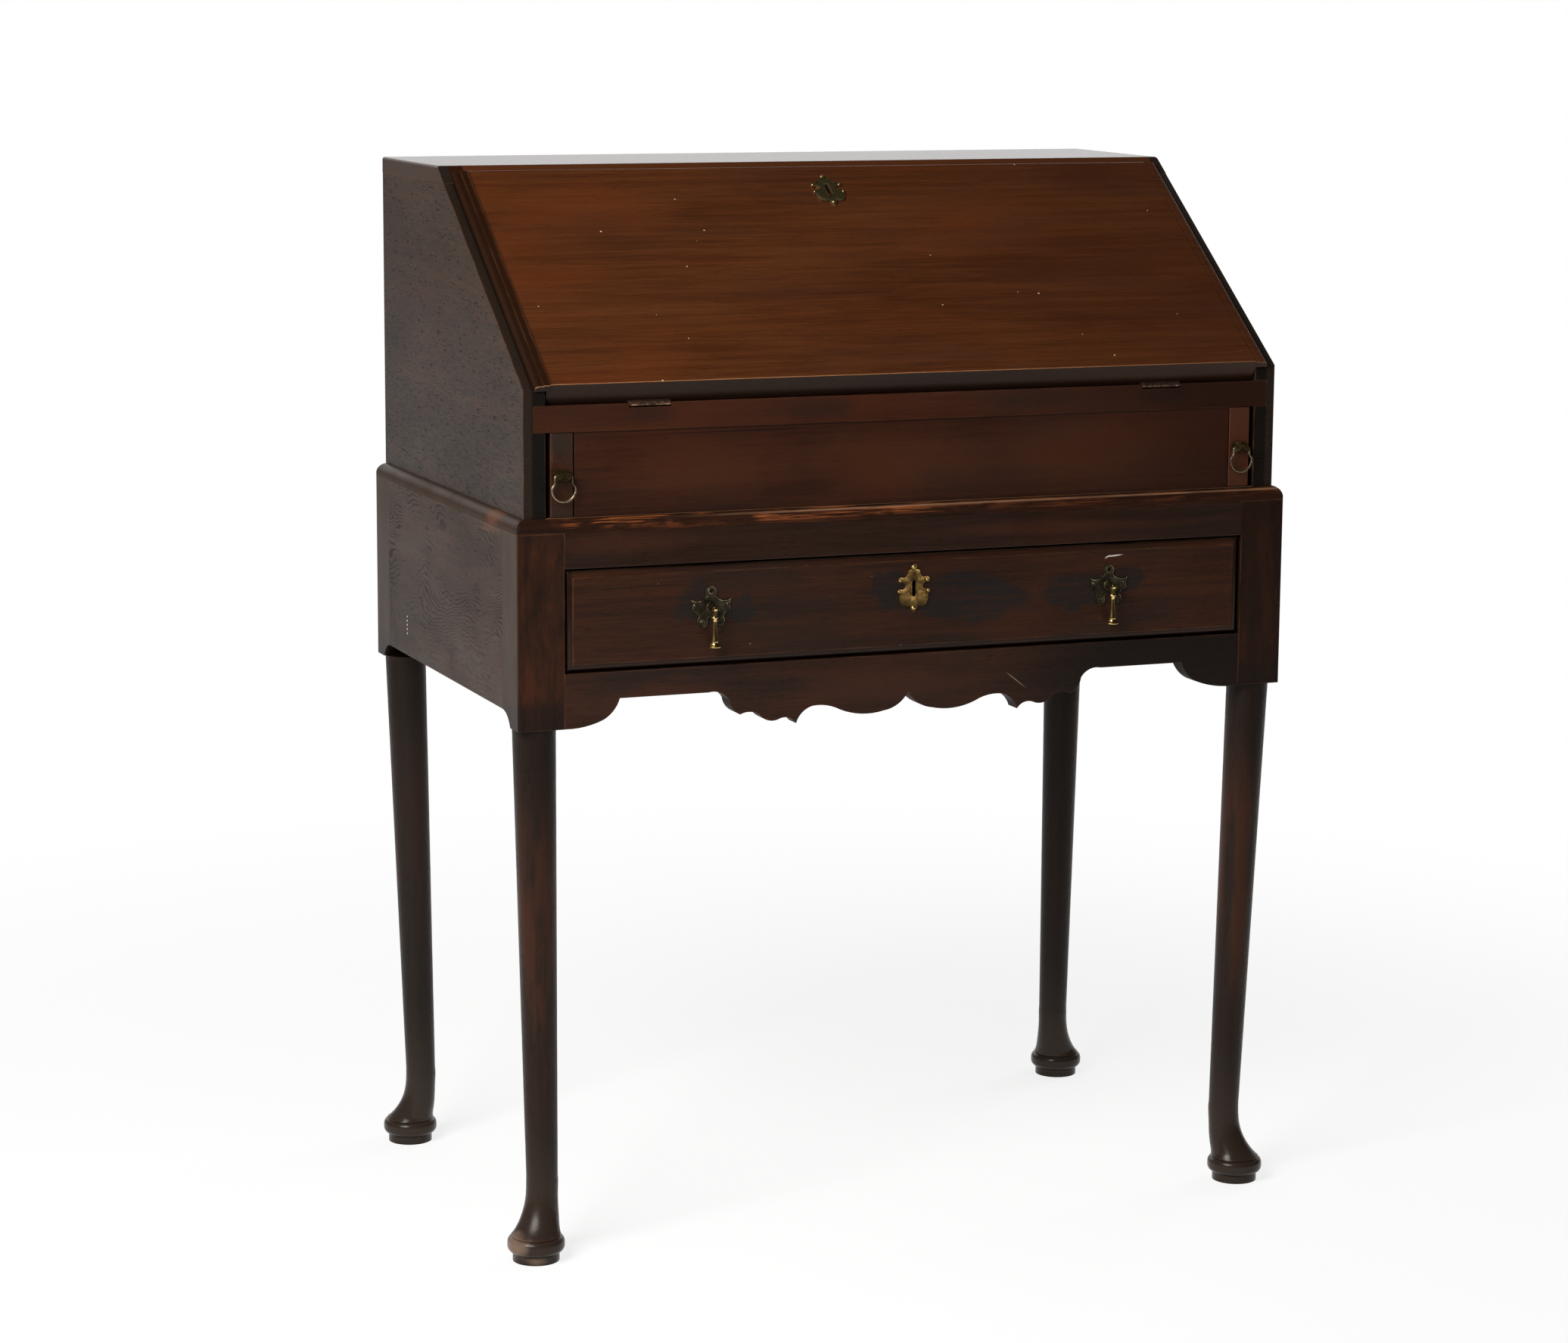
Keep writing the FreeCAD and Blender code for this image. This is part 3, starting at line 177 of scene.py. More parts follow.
def angle(label, description, degrees):
    return FloatProperty(name=label, description=description, default=math.radians(degrees),
                         subtype="ANGLE", unit="ROTATION")


class BureauWoodSettings(PropertyGroup):
    """Colours and wear of the woods."""
    fall_light: figure("Fall", "light", "the fall", (0.086, 0.0244, 0.0063))
    fall_dark: figure("Fall", "dark", "the fall", (0.043, 0.0112, 0.0030))
    box_light: figure("Box", "light", "the box's front", (0.050, 0.0132, 0.0046))
    box_dark: figure("Box", "dark", "the box's front", (0.018, 0.0054, 0.0025))
    side_light: figure("Sides", "light", "the box's sides", (0.038, 0.0150, 0.0050))
    side_dark: figure("Sides", "dark", "the box's sides", (0.018, 0.0088, 0.0036))
    drawer_light: figure("Drawer", "light", "the drawer front", (0.038, 0.0118, 0.0045))
    drawer_dark: figure("Drawer", "dark", "the drawer front", (0.015, 0.0060, 0.0036))
    stand_light: figure("Stand", "light", "the stand", (0.036, 0.0120, 0.0052))
    stand_dark: figure("Stand", "dark", "the stand", (0.012, 0.0050, 0.0030))
    leg_light: figure("Legs", "light", "the legs", (0.019, 0.0080, 0.0044))
    leg_dark: figure("Legs", "dark", "the legs", (0.0085, 0.0042, 0.0027))
    inside_light: figure("Inside", "light", "the fitted inside", (0.200, 0.070, 0.022))
    inside_dark: figure("Inside", "dark", "the fitted inside", (0.085, 0.026, 0.009))
    oak_light: figure("Oak", "light", "the plain inner boards", (0.330, 0.200, 0.090))
    oak_dark: figure("Oak", "dark", "the plain inner boards", (0.150, 0.080, 0.034))
    worn: colour("Worn edge", "Wood showing through the polish on arrises", (0.300, 0.120, 0.050))
    arris: length("Arris", "Rounding of the boards' edges", 0.0007)
    wear_reach: length("Wear reach", "How far wear spreads from an edge", 0.0016)


class BureauBrassSettings(PropertyGroup):
    """Colours and small sizes of the brasswork."""
    bright: colour("Bright brass", "Rubbed brass", (0.78, 0.56, 0.22))
    tarnish: colour("Tarnished brass", "Brass in the recesses", (0.115, 0.078, 0.030))
    iron: colour("Iron", "Lock cases", (0.10, 0.095, 0.09))
    nail_radius: length("Nail head", "Radius of the plates' nail heads", 0.0021)
    border: length("Border", "Width of the raised border round a plate", 0.0007)
    sink: length("Sink", "Depth of a plate's face under its border", 0.0003)
    arris: length("Arris", "Rounding of the metal's edges", 0.00012)
    collar_radius: length("Collar", "Radius of the bead round a pull's stem", 0.0040)
    screw_radius: length("Screw head", "Radius of the hinge screws", 0.0024)
    turns: IntProperty(name="Facets round", description="Sides of each small turned piece", default=20,
                       min=8, max=64)


class BureauStudioSettings(PropertyGroup):
    """Floor, lamps and camera."""
    floor_size: length("Floor", "Radius of the floor", 2.3)
    floor_colour: colour("Floor colour", "Plain pale floor", (0.93, 0.93, 0.925))
    floor_lift: FloatProperty(name="Floor lift", description="White seen in the floor by the object",
                              default=0.78, min=0.0, max=1.0)
    fill: light_level("Fill", "Light from all round", 0.23)
    room: light_level("Room", "What polish reflects in front of the object", 0.012)
    ground_front: light_level("Ground in front", "What polish reflects low in front", 0.03)
    ground_back: light_level("Ground behind", "What polish reflects low behind", 0.72)
    key_power: power("Key lamp", "Power of the main soft lamp", 94.0)
    back_power: power("Back lamp", "Power of the soft lamp behind", 26.0)
    side_power: power("Side lamp", "Power of the weak lamp on the right", 30.0)
    azimuth: angle("Azimuth", "Camera's turn round the object", -21.634)
    elevation: angle("Elevation", "Camera's height over the horizon", 9.984)
    roll: angle("Roll", "Camera's turn about its own line of sight", 0.372)
    distance: length("Distance", "From the camera to the point it looks at", 3.9951)
    target: FloatVectorProperty(name="Target", description="Point in the middle of the picture", size=3,
                                subtype="TRANSLATION", unit="LENGTH", default=(-0.03839, 0.00693, 0.50484))
    focal_share: FloatProperty(name="Focal share", description="Focal length over the picture's width",
                               default=5317.7 / 2072.0, min=0.1)


# Small sums

def scaled(values, *factors):
    """Three numbers times one factor, or each times its own."""
    each = factors if len(factors) == 3 else factors * 3
    return tuple(value * factor for value, factor in zip(values, each))


def between(first, second, share):
    """Colour at a share of the way from one to another."""
    return tuple(a + (b - a) * share for a, b in zip(first, second))


def part_way(low, high, share):
    return low + (high - low) * share


def rgba(tint):
    """Four channels for a colour socket, from three numbers; a node's output goes through as it is."""
    return tint if isinstance(tint, Value) else (*tint, 1.0)


# Shader nodes

class Value:
    """Output of a shader node; sums and products with it become Math nodes."""

    def __init__(self, paint, socket):
        self.paint = paint
        self.socket = socket

    def math(self, operation, *parts):
        return self.paint.read("Math", 0, dict(enumerate(parts)), operation=operation)

    def __add__(self, other):
        return self.math("ADD", self, other)

    def __sub__(self, other):
        return self.math("SUBTRACT", self, other)

    def __rsub__(self, other):
        return self.math("SUBTRACT", other, self)

    def __mul__(self, other):
        return self.math("MULTIPLY", self, other)

    def __abs__(self):
        return self.math("ABSOLUTE", self)

    __radd__ = __add__
    __rmul__ = __mul__

    def ramp(self, low, high, to_low=0.0, to_high=1.0):
        """Smooth step of the value between two limits."""
        limits = dict(enumerate((self, low, high, to_low, to_high)))
        return self.paint.read("MapRange", 0, limits, interpolation_type="SMOOTHSTEP")

    def sine(self):
        return self.math("SINE", self)

    def coated(self, amount, tint):
        """This colour under a coat of another."""
        return self.paint.mix(amount, self, tint)


def highest(first, *others):
    """Greatest of several values."""
    for other in others:
        first = first.math("MAXIMUM", first, other)
    return first


class Paint:
    """Node tree of a material or of the world, and the patterns it is painted with."""

    def __init__(self, tree, space="Object"):
        tree.nodes.clear()
        self.tree = tree
        self.place = self.read("TexCoord", space)

    def node(self, kind, inputs, **settings):
        """Add a shader node; an input takes a number, a tuple or another node's output."""
        node = self.tree.nodes.new("ShaderNode" + kind)
        for key, value in settings.items():
            setattr(node, key, value)
        for key, value in inputs.items():
            if isinstance(value, Value):
                self.tree.links.new(value.socket, node.inputs[key])
            else:
                node.inputs[key].default_value = value
        return node

    def read(self, kind, output, inputs=None, **settings):
        """Add a shader node and read one of its outputs."""
        return Value(self, self.node(kind, inputs or {}, **settings).outputs[output])

    def mix(self, factor, first, second):
        """Colour between two; 0, 6, 7 and output 2 are the Mix node's sockets for colours."""
        return self.read("Mix", 2, {0: factor, 6: rgba(first), 7: rgba(second)}, data_type="RGBA",
                         blend_type="MIX", clamp_factor=True)

    def dot(self, first, second):
        return self.read("VectorMath", "Value", {0: first, 1: second}, operation="DOT_PRODUCT")

    def length(self, vector):
        return self.read("VectorMath", "Value", {0: vector}, operation="LENGTH")

    def part(self, vector, axis):
        return self.read("SeparateXYZ", axis, {"Vector": vector})

    def along(self, axis):
        """Where the shaded point lies along an axis."""
        return self.part(self.place, axis)

    def outward(self, axis, kind="True Normal"):
        """How far the surface looks along an axis."""
        return self.part(self.read("NewGeometry", kind), axis)

    def noise(self, scale, detail, roughness=0.5, distortion=0.0, vector=None):
        """Cloudy pattern, the same size in all directions unless it gets coordinates of its own."""
        return self.read("TexNoise", "Fac", {
            "Vector": vector or self.place, "Scale": scale, "Detail": detail, "Roughness": roughness,
            "Distortion": distortion})

    def grain(self, axis, lengthwise, crosswise, offset=(0.0, 0.0, 0.0), detail=3.0, roughness=0.6,
              distortion=0.0):
        """Pattern drawn out along one axis, by its frequencies along and across it."""
        scale = tuple(lengthwise if way == axis else crosswise for way in "XYZ")
        squeezed = self.read("Mapping", 0, {"Vector": self.place, "Scale": scale, "Location": offset})
        return self.noise(1.0, detail, roughness, distortion, squeezed)

    def corners(self, reach):
        """Low in corners and hollows."""
        return self.read("AmbientOcclusion", "AO", {"Distance": reach}, samples=4)

    def edges(self, radius, low, high):
        """High on arrises, where the rounded normal leaves the true one."""
        rounded = self.read("Bevel", 0, {"Radius": radius}, samples=4)
        return self.dot(rounded, self.read("NewGeometry", "Normal")).ramp(high, low)

    def blot(self, soft, ragged, centre, radii, turn=0.0):
        """High inside an ellipsoid turned about Y, with a soft and, if asked, ragged rim."""
        inputs = {"Vector": self.place, "Location": centre, "Rotation": (0.0, turn, 0.0), "Scale": radii}
        reach = self.length(self.read("Mapping", 0, inputs, vector_type="TEXTURE"))
        if ragged:
            reach = reach + (self.noise(1.6 / max(radii), 4.0, 0.6, 0.3) - 0.5) * ragged
        return reach.ramp(1.0, 1.0 - soft)

    def blots(self, spots, soft, ragged=0.0):
        """High inside any of several spots, each with its centre, radii and perhaps turn."""
        return highest(*[self.blot(soft, ragged, *spot) for spot in spots])

    def dirt(self, base, spots, tint, amount):
        """Darken or tint a colour inside soft, ragged blots."""
        return base.coated(self.blots(spots, 0.75, 0.9) * amount, tint)

    def scratches(self, base, lines, tint, amount):
        """Thin marks with clean rims."""
        return base.coated(self.blots(lines, 0.6) * amount, tint)

    def specks(self, base, density, tint, amount):
        """Small pale chips in the polish, in loose groups."""
        away = self.read("TexVoronoi", "Distance",
                         {"Vector": self.place, "Scale": density, "Randomness": 1.0}, feature="F1")
        size = self.noise(density * 1.7, 1.0).ramp(0.36, 0.64, 0.006, 0.040)
        chosen = self.noise(9.0, 2.0).ramp(0.30, 0.40)
        return base.coated((away - size).ramp(0.008, -0.008) * chosen * amount, tint)

    def fade(self, base, axis, start, end, amount, tint):
        """Tint a colour more and more from one place along an axis to another."""
        return base.coated(self.along(axis).ramp(start, end, 0.0, amount), tint)

    def sideways(self, base, light, dark, amount):
        """Grey the faces that look aside, as the sides of the piece are greyer than its front."""
        side = abs(self.outward("X", "Normal")).ramp(*LOOKS_ASIDE, 0.0, amount)
        return base.coated(side, between(light, dark, 0.5))

    def surface(self, inputs):
        """End the tree in a shader with the given inputs."""
        self.node("OutputMaterial", {"Surface": self.read("BsdfPrincipled", 0, inputs)})

    def seen_by(self, *rays):
        """High for rays of any of the kinds named."""
        return highest(*[self.read("LightPath", "Is " + ray + " Ray") for ray in rays])


def new_material(name):
    material = bpy.data.materials.new(name)
    material.use_nodes = True
    return material, Paint(material.node_tree)


def ripples(paint, offset, spacing):
    """Troughs of a level, wavy figure whose lines wind with a slow noise."""
    height = paint.along("Z")
    slow = paint.grain("Y", 9.0, 12.0, offset, 2.0, 0.5, 0.5)
    quick = paint.grain("Y", 34.0, 70.0, offset, 2.0, 0.5)
    bent = height + slow * (14.0 * spacing) + quick * (3.0 * spacing)
    lines = (bent * (2 * math.pi / spacing)).sine().ramp(-0.1, 0.9)
    zone = paint.noise(13.0, 3.0, 0.6, 0.3).ramp(0.42, 0.60, 0.1, 1.0)
    return lines * zone * height.ramp(0.53, 0.62, 0.35, 1.0)


def wood_figure(paint, axis, offset, flecks, pore, ripple, spacing):
    """Shade, hollows and relief of patches, streaks, fibres, pores and, if asked, ripples."""
    patches = paint.grain(axis, 2.6, 11.0, offset, 3.0, 0.55, 0.4)
    streaks = paint.grain(axis, 3.6, 120.0, offset, 6.0, 0.70, 0.25)
    fibres = paint.grain(axis, 24.0, 850.0, offset, 3.0, 0.65)
    hollows = paint.grain(axis, 95.0, pore, offset).ramp(0.56, 0.70, 0.0, flecks)
    shade = patches * 0.28 + streaks * 0.40 + fibres * 0.32
    relief = fibres * 0.6
    if ripple:
        trough = ripples(paint, offset, spacing) * ripple
        hollows = highest(hollows, trough * 0.95)
        relief = relief - trough * 2.0
    return shade, hollows, relief + patches * 0.3


def polished_wood(name, light, dark, axis, settings, offset, marks=None, gloss=0.42, specular=0.25,
                  ridges=0.3, ripple=0.0, spacing=0.0050, flecks=0.5, pore=1500.0, wear=1.0, cloudy=0.4,
                  uneven=0.3, corner_shade=0.75):
    """Waxed hardwood with its marks, worn arrises and painted shade in corners."""
    material, paint = new_material(name)
    shade, hollows, relief = wood_figure(paint, axis, offset, flecks, pore, ripple, spacing)
    tone = paint.grain(axis, 5.0, 14.0, scaled(offset, -1.3), 3.0, 0.6, 0.6)
    warmth = paint.grain(axis, 4.0, 8.0, scaled(offset, 2.7), 2.0, 0.5, 0.3)
    base = paint.mix(shade.ramp(0.38, 0.63), dark, light)
    base = base.coated(warmth.ramp(0.50, 0.68, 0.0, 0.5), scaled(light, 1.15, 0.95, 0.80))
    base = base.coated(tone.ramp(0.48, 0.70, 0.0, cloudy), scaled([sum(dark) / 3] * 3, 1.5, 0.85, 0.6))
    base = base.coated(hollows, scaled(dark, 0.60, 0.50, 0.40))
    if marks:
        base = marks(paint, base, settings)
    # Painted shade: ambient occlusion darkens corners and hollows with the dark tone
    base = base.coated(paint.corners(0.012).ramp(0.85, 0.25, 0.0, corner_shade), scaled(dark, 0.3))
    patchy = paint.noise(26.0, 4.0, 0.6).ramp(0.38, 0.66, 0.12, 0.85)
    rubbed = paint.edges(settings.wear_reach, 0.80, 0.985) * patchy * wear
    base = base.coated(rubbed, paint.mix(0.45, settings.worn, base))
    bump = paint.read("Bump", 0, {"Strength": ridges, "Distance": 0.0004, "Height": relief})
    level = gloss(paint) if callable(gloss) else gloss
    shine = specular(paint) if callable(specular) else specular
    paint.surface({"Base Color": base, "Roughness": level + (tone - 0.5) * uneven, "Normal": bump,
                   "Specular IOR Level": (1.0 - hollows * 0.8) * shine, "Specular Tint": rgba(WARM_SHINE)})
    return material


def metal(name, bright, tarnish, roughness, patches, bias, rubbed=0.9, sunk=0.0):
    """Old metal, rubbed bright on its edges and tarnished in hollows and patches.

    patches is their number to the metre; a higher bias leaves more of the metal bright.
    """
    material, paint = new_material(name)
    cloud = paint.noise(patches, 5.0, 0.62, 0.4)
    dull = highest(cloud.ramp(bias - 0.16, bias + 0.14), paint.corners(0.003).ramp(0.75, 0.30))
    if sunk:
        dull = highest(dull, paint.read("Attribute", "Fac", attribute_name="sunk") * sunk)
    dull = dull * (1.0 - paint.edges(0.0005, 0.70, 0.97) * rubbed)
    grain = paint.noise(900.0, 3.0, 0.6)
    bump = paint.read("Bump", 0, {"Strength": 0.25, "Distance": 0.0001, "Height": grain})
    paint.surface({"Base Color": paint.mix(dull, bright, tarnish), "Roughness": roughness + dull * 0.22,
                   "Normal": bump, "Metallic": 1.0})
    return material


# Marks of the stand, in metres from the corners of the pieces

def rim_marks(paint, base, wood):
    """Orange streaks on the crown of the front length, where polish is worn through and a highlight is
    painted, and a pale line of wear and painted glint along its arris.
    """
    low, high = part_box("stand_rim")
    across = paint.along("X")
    base = base.coated(0.4, scaled(wood.stand_dark, 0.9))
    flank = abs(across).ramp(high.x - 0.013, high.x - 0.010)
    flank = flank * paint.along("Y").ramp(low.y + 0.010, low.y + 0.013, 0.0, 0.85)
    base = base.coated(flank, between(wood.side_light, wood.side_dark, 0.6))
    # The crown looks up and forward; marks there are painted highlight as well as wear
    crown = paint.dot(paint.read("NewGeometry", "Normal"), (0.0, -0.66, 0.75))
    front = paint.outward("Y", "Normal").ramp(-0.10, -0.35) * crown.ramp(0.62, 0.80)
    patch = paint.grain("X", 16.0, 60.0, (3.0, 0.0, 0.0))
    thread = paint.grain("X", 15.0, 620.0, detail=5.0, roughness=0.7).ramp(0.44, 0.60)
    ragged = across + paint.noise(14.0, 3.0, 0.6) * 0.16
    start, full, fading, end = (part_way(low.x, high.x, share) for share in (0.13, 0.18, 0.45, 0.72))
    orange = ragged.ramp(start, full) * ragged.ramp(end, fading, 0.2, 1.0)
    # Orange streaks on the crown's left half: rubbed polish with a painted highlight
    worn = front * (thread * patch.ramp(0.42, 0.56)) * orange
    base = base.coated(worn * 0.85, RUBBED_ORANGE_AND_HIGHLIGHT)
    base = paint.dirt(base, [((low.x, low.y + 0.075, high.z), (0.030, 0.030, 0.020))], RIM_BARE, 0.6)
    # Pale thin line where the crown looks furthest up and forward: wear with a painted glint
    pale = crown.ramp(0.985, 0.998) * patch.ramp(0.30, 0.60, 0.45, 1.0)
    pale = pale * ragged.ramp(part_way(low.x, high.x, 0.25), part_way(low.x, high.x, 0.50))
    return base.coated(pale * 0.45, RIM_PALE_WEAR_AND_GLINT)


def top_rail_marks(paint, base, wood):
    low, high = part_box("stand_top_rail")
    rim_low, rim_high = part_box("stand_rim")
    middle = low.x + (rim_high.x - rim_low.x) * 0.62
    spots = [((low.x + 0.06, rim_low.y, high.z - 0.012), (0.10, 0.02, 0.014)),
             ((middle, rim_low.y, high.z - 0.016), (0.16, 0.02, 0.010))]
    base = base.coated(0.40, scaled(wood.stand_dark, 0.7))
    return paint.dirt(base, spots, RAIL_WARM, 0.45)


def apron_marks(paint, base, wood):
    """Warm on its left half, with painted shade on its right, and one slanted scratch."""
    low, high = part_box("apron")
    rim_low, rim_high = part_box("stand_rim")
    width = rim_high.x - rim_low.x
    warm = [((low.x + width * share, low.y, low.z + 0.03), (reach, 0.02, 0.022))
            for share, reach in ((0.10, 0.10), (0.42, 0.14))]
    base = paint.dirt(base, warm, APRON_WARM, 0.55)
    # Painted shade: darker over the right half, away from the key lamp
    base = paint.fade(base, "X", low.x + width * 0.50, low.x + width * 0.72, 0.95,
                      scaled(wood.stand_dark, 0.5))
    base = paint.sideways(base, *SAWN_EDGE, 0.9)
    scratch = ((part_way(low.x, high.x, 0.655), low.y, low.z + 0.028), (0.016, 0.01, 0.0006),
               math.radians(38))
    return paint.scratches(base, [scratch], APRON_SCRATCH, 0.7)


def front_shine(paint):
    """The sawn edges of the front boards do not shine."""
    return paint.outward("Y").ramp(-0.60, -0.90, 0.02, 0.25)


def leg_marks(paint, base, wood):
    """Warm streaks half way up, a blotchy post, painted shade on the right posts, on the round back legs
    and under the posts, and a dusty, chipped foot.
    """
    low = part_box("leg_front_left")[0]
    # One dark tone serves the post's blotches and its painted shade
    height, blotch_and_shade = paint.along("Z"), scaled(wood.stand_dark, 0.5)
    streak = paint.grain("Z", 7.0, 60.0, (2.0, 2.0, 2.0)).ramp(0.42, 0.60)
    warm = streak * (height.ramp(0.16, 0.26) * height.ramp(0.50, 0.34))
    base = base.coated(warm * 0.75, LEG_WARM)
    post = height.ramp(0.525, 0.54)
    base = base.coated(post * 0.6, scaled(wood.stand_light, 0.75))
    blotchy = paint.grain("Z", 16.0, 60.0, (5.0, 1.0, 2.0), 4.0, 0.7, 0.4)
    base = base.coated(post * blotchy.ramp(0.50, 0.66, 0.0, 0.6), POST_WARM)
    base = base.coated(post * blotchy.ramp(0.50, 0.36, 0.0, 0.6), blotch_and_shade)
    # Painted shade: the posts darken towards the right, away from the key lamp
    base = base.coated(post * paint.along("X").ramp(0.0, 0.3, 0.0, 0.5), blotch_and_shade)
    base = base.coated(post, paint.sideways(base, wood.side_light, wood.side_dark, 0.9))
    # Painted shade on the back legs, below their posts
    behind = paint.along("Y").ramp(0.05, 0.10) * height.ramp(0.54, 0.50)
    base = base.coated(behind * 0.7, BACK_LEG_SHADE)
    shaded = height.ramp(0.38, 0.47) * height.ramp(0.53, 0.49)
    base = base.coated(shaded * 0.45, scaled(wood.leg_dark, 0.6))
    chips = [((low.x + 0.002, low.y + 0.018, 0.018), (0.020, 0.026, 0.016)),
             ((low.x + 0.014, low.y + 0.002, 0.004), (0.024, 0.014, 0.006))]
    base = paint.dirt(base, chips, FOOT_CHIP, 0.80)
    return base.coated(height.ramp(0.16, 0.02, 0.0, 0.50), FOOT_DUST)


def leg_gloss(paint):
    return paint.along("Z").ramp(0.10, 0.03, 0.40, 0.24)


def stand_side_marks(paint, base, wood):
    """Two dents, a bare patch by the front and a row of five pins near the back of the left side."""
    low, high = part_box("stand_side_left")
    dents = [((low.x, high.y - 0.170, low.z + 0.070), (0.004, 0.0020, 0.0060)),
             ((low.x, high.y - 0.235, low.z + 0.062), (0.004, 0.0016, 0.0070))]
    pins = [((low.x, high.y - 0.062, low.z + 0.022 + 0.0042 * i), (0.004, 0.0012, 0.0013))
            for i in range(5)]
    base = paint.dirt(base, dents, scaled(wood.stand_dark, 0.3), 0.9)
    bare = ((low.x, low.y + 0.035, high.z - 0.002), (0.012, 0.040, 0.008))
    base = paint.dirt(base, [bare], SIDE_BARE, 0.5)
    return base.coated(paint.blots(pins, 0.5), PIN_HEAD)


def drawer_marks(paint, base, wood):
    """Dark where hands reached for the pulls and the key, scratched by the right pull, chipped on top."""
    low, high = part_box("drawer_front")
    left, right = (seat("drop_pull_plates", side)[0].translation for side in (-1, 1))
    keyhole = seat("drawer_escutcheon")[0].translation
    across, height = paint.along("X"), paint.along("Z")
    ends = highest(across.ramp(low.x + 0.0085, low.x + 0.005), across.ramp(high.x - 0.0085, high.x - 0.005),
                   height.ramp(low.z + 0.0090, low.z + 0.005))
    base = base.coated(ends * 0.6, scaled(wood.stand_dark, 0.5))
    handled = ((left, -0.012, 0.002, 0.036, 0.026), (left, 0.030, -0.004, 0.022, 0.016),
               (right, -0.028, -0.004, 0.050, 0.026), (right, 0.020, 0.004, 0.030, 0.018),
               (keyhole, 0.060, -0.012, 0.105, 0.034), (keyhole, -0.022, 0.0, 0.032, 0.026))
    patches = [(middle + Vector((aside, 0.0, up)), (wide, 0.02, tall))
               for middle, aside, up, wide, tall in handled]
    streaky = paint.grain("X", 14.0, 160.0, (5.0, 5.0, 5.0), 4.0, 0.65).ramp(0.36, 0.56, 0.35, 1.0)
    base = base.coated(paint.blots(patches, 0.9, 1.5).ramp(0.10, 0.45) * streaky * 0.85, HANDLED_DARK)
    arcs = [((right.x + 0.006, low.y, high.z - 0.0125), (0.011, 0.01, 0.0009), math.radians(-4)),
            ((right.x - 0.001, low.y, high.z - 0.0132), (0.004, 0.01, 0.0007), math.radians(-30))]
    base = paint.scratches(base, arcs, DRAWER_SCRATCH, 0.9)
    chipped = paint.grain("X", 14.0, 90.0, (7.0, 0.0, 0.0), 4.0, 0.65).ramp(0.36, 0.60)
    arris = chipped * height.ramp(high.z - 0.0024, high.z - 0.0012)
    base = base.coated(arris * 0.6, DRAWER_ARRIS)
    return paint.specks(base, 48.0, DRAWER_SPECK, 0.45)


# Marks of the box and its fall

def box_side_marks(paint, base, wood):
    """Mottled greyish sides whose front edges are darker, most of all beside the fall's lip."""
    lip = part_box("fall_board")[1].x
    mottle = paint.grain("Y", 70.0, 330.0, detail=4.0, roughness=0.7, distortion=0.4)
    rough = mottle.ramp(0.46, 0.60) * paint.along("Z").ramp(0.72, 0.90, 0.95, 0.45)
    base = base.coated(rough, scaled(wood.side_dark, 0.35))
    edge = paint.outward("Y").ramp(*LOOKS_FRONT)
    base = base.coated(edge * 0.8, BOX_EDGE)
    groove = edge * abs(paint.along("X")).ramp(lip + 0.0028, lip + 0.0005)
    return base.coated(groove * 0.85, LIP_SHADOW)


def box_side_shine(paint):
    """The sides are duller towards their top."""
    return paint.along("Z").ramp(0.76, 0.96, 0.180, 0.085)


def box_rail_marks(paint, base, wood):
    low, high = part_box("well_front")
    stains = [((share * high.x, low.y, high.z + 0.014), (reach, 0.02, 0.014))
              for share, reach in ((-0.78, 0.04), (-0.30, 0.06), (0.35, 0.07), (0.80, 0.04))]
    base = base.coated(0.4, BOX_RAIL_RED)
    base = paint.dirt(base, stains, BOX_RAIL_STAIN, 0.50)
    # Painted shade: darker towards the right, away from the key lamp
    return paint.fade(base, "X", 0.05, high.x, 0.75, scaled(wood.box_dark, 0.5))


def well_marks(paint, base, wood):
    """Warm along the middle and dark under the rail, with painted shade towards the right, and a long
    crack.
    """
    low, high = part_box("well_front")
    middle = [((part_way(low.x, high.x, share), low.y, (low.z + high.z) / 2), (0.12, 0.02, 0.040))
              for share in (0.20, 0.48, 0.78)]
    base = base.coated(0.35, scaled(wood.box_dark, 0.8))
    base = paint.dirt(base, middle, WELL_WARM, 0.65)
    base = paint.fade(base, "Z", high.z - 0.0022, high.z - 0.0010, 0.8, scaled(wood.box_dark, 0.5))
    # Painted shade: darker towards the right, away from the key lamp
    base = paint.fade(base, "X", 0.10, high.x, 0.45, scaled(wood.box_dark, 0.9))
    crack = ((low.x + 0.165, low.y, high.z - 0.0045), (0.125, 0.02, 0.0007))
    return paint.scratches(base, [crack], WELL_CRACK, 0.9)


def loper_marks(paint, base, wood):
    """Rubbed front arrises, dark ends and a redder right loper."""
    low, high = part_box("loper_right")
    arris = abs(paint.along("X")).ramp(high.x - 0.0035, high.x - 0.0015)
    arris = arris * paint.along("Y").ramp(low.y + 0.0040, low.y + 0.0015)
    patchy = paint.grain("Z", 22.0, 90.0, (0.0, 2.0, 0.0)).ramp(0.40, 0.60)
    base = base.coated(arris * patchy * 0.6, LOPER_ARRIS)
    base = paint.fade(base, "Z", high.z - 0.035, high.z - 0.010, 0.8, LOPER_TOP)
    base = paint.fade(base, "Z", low.z + 0.020, low.z + 0.004, 0.7, LOPER_FOOT)
    return paint.fade(base, "X", 0.0, low.x, 0.65, LOPER_RIGHT)


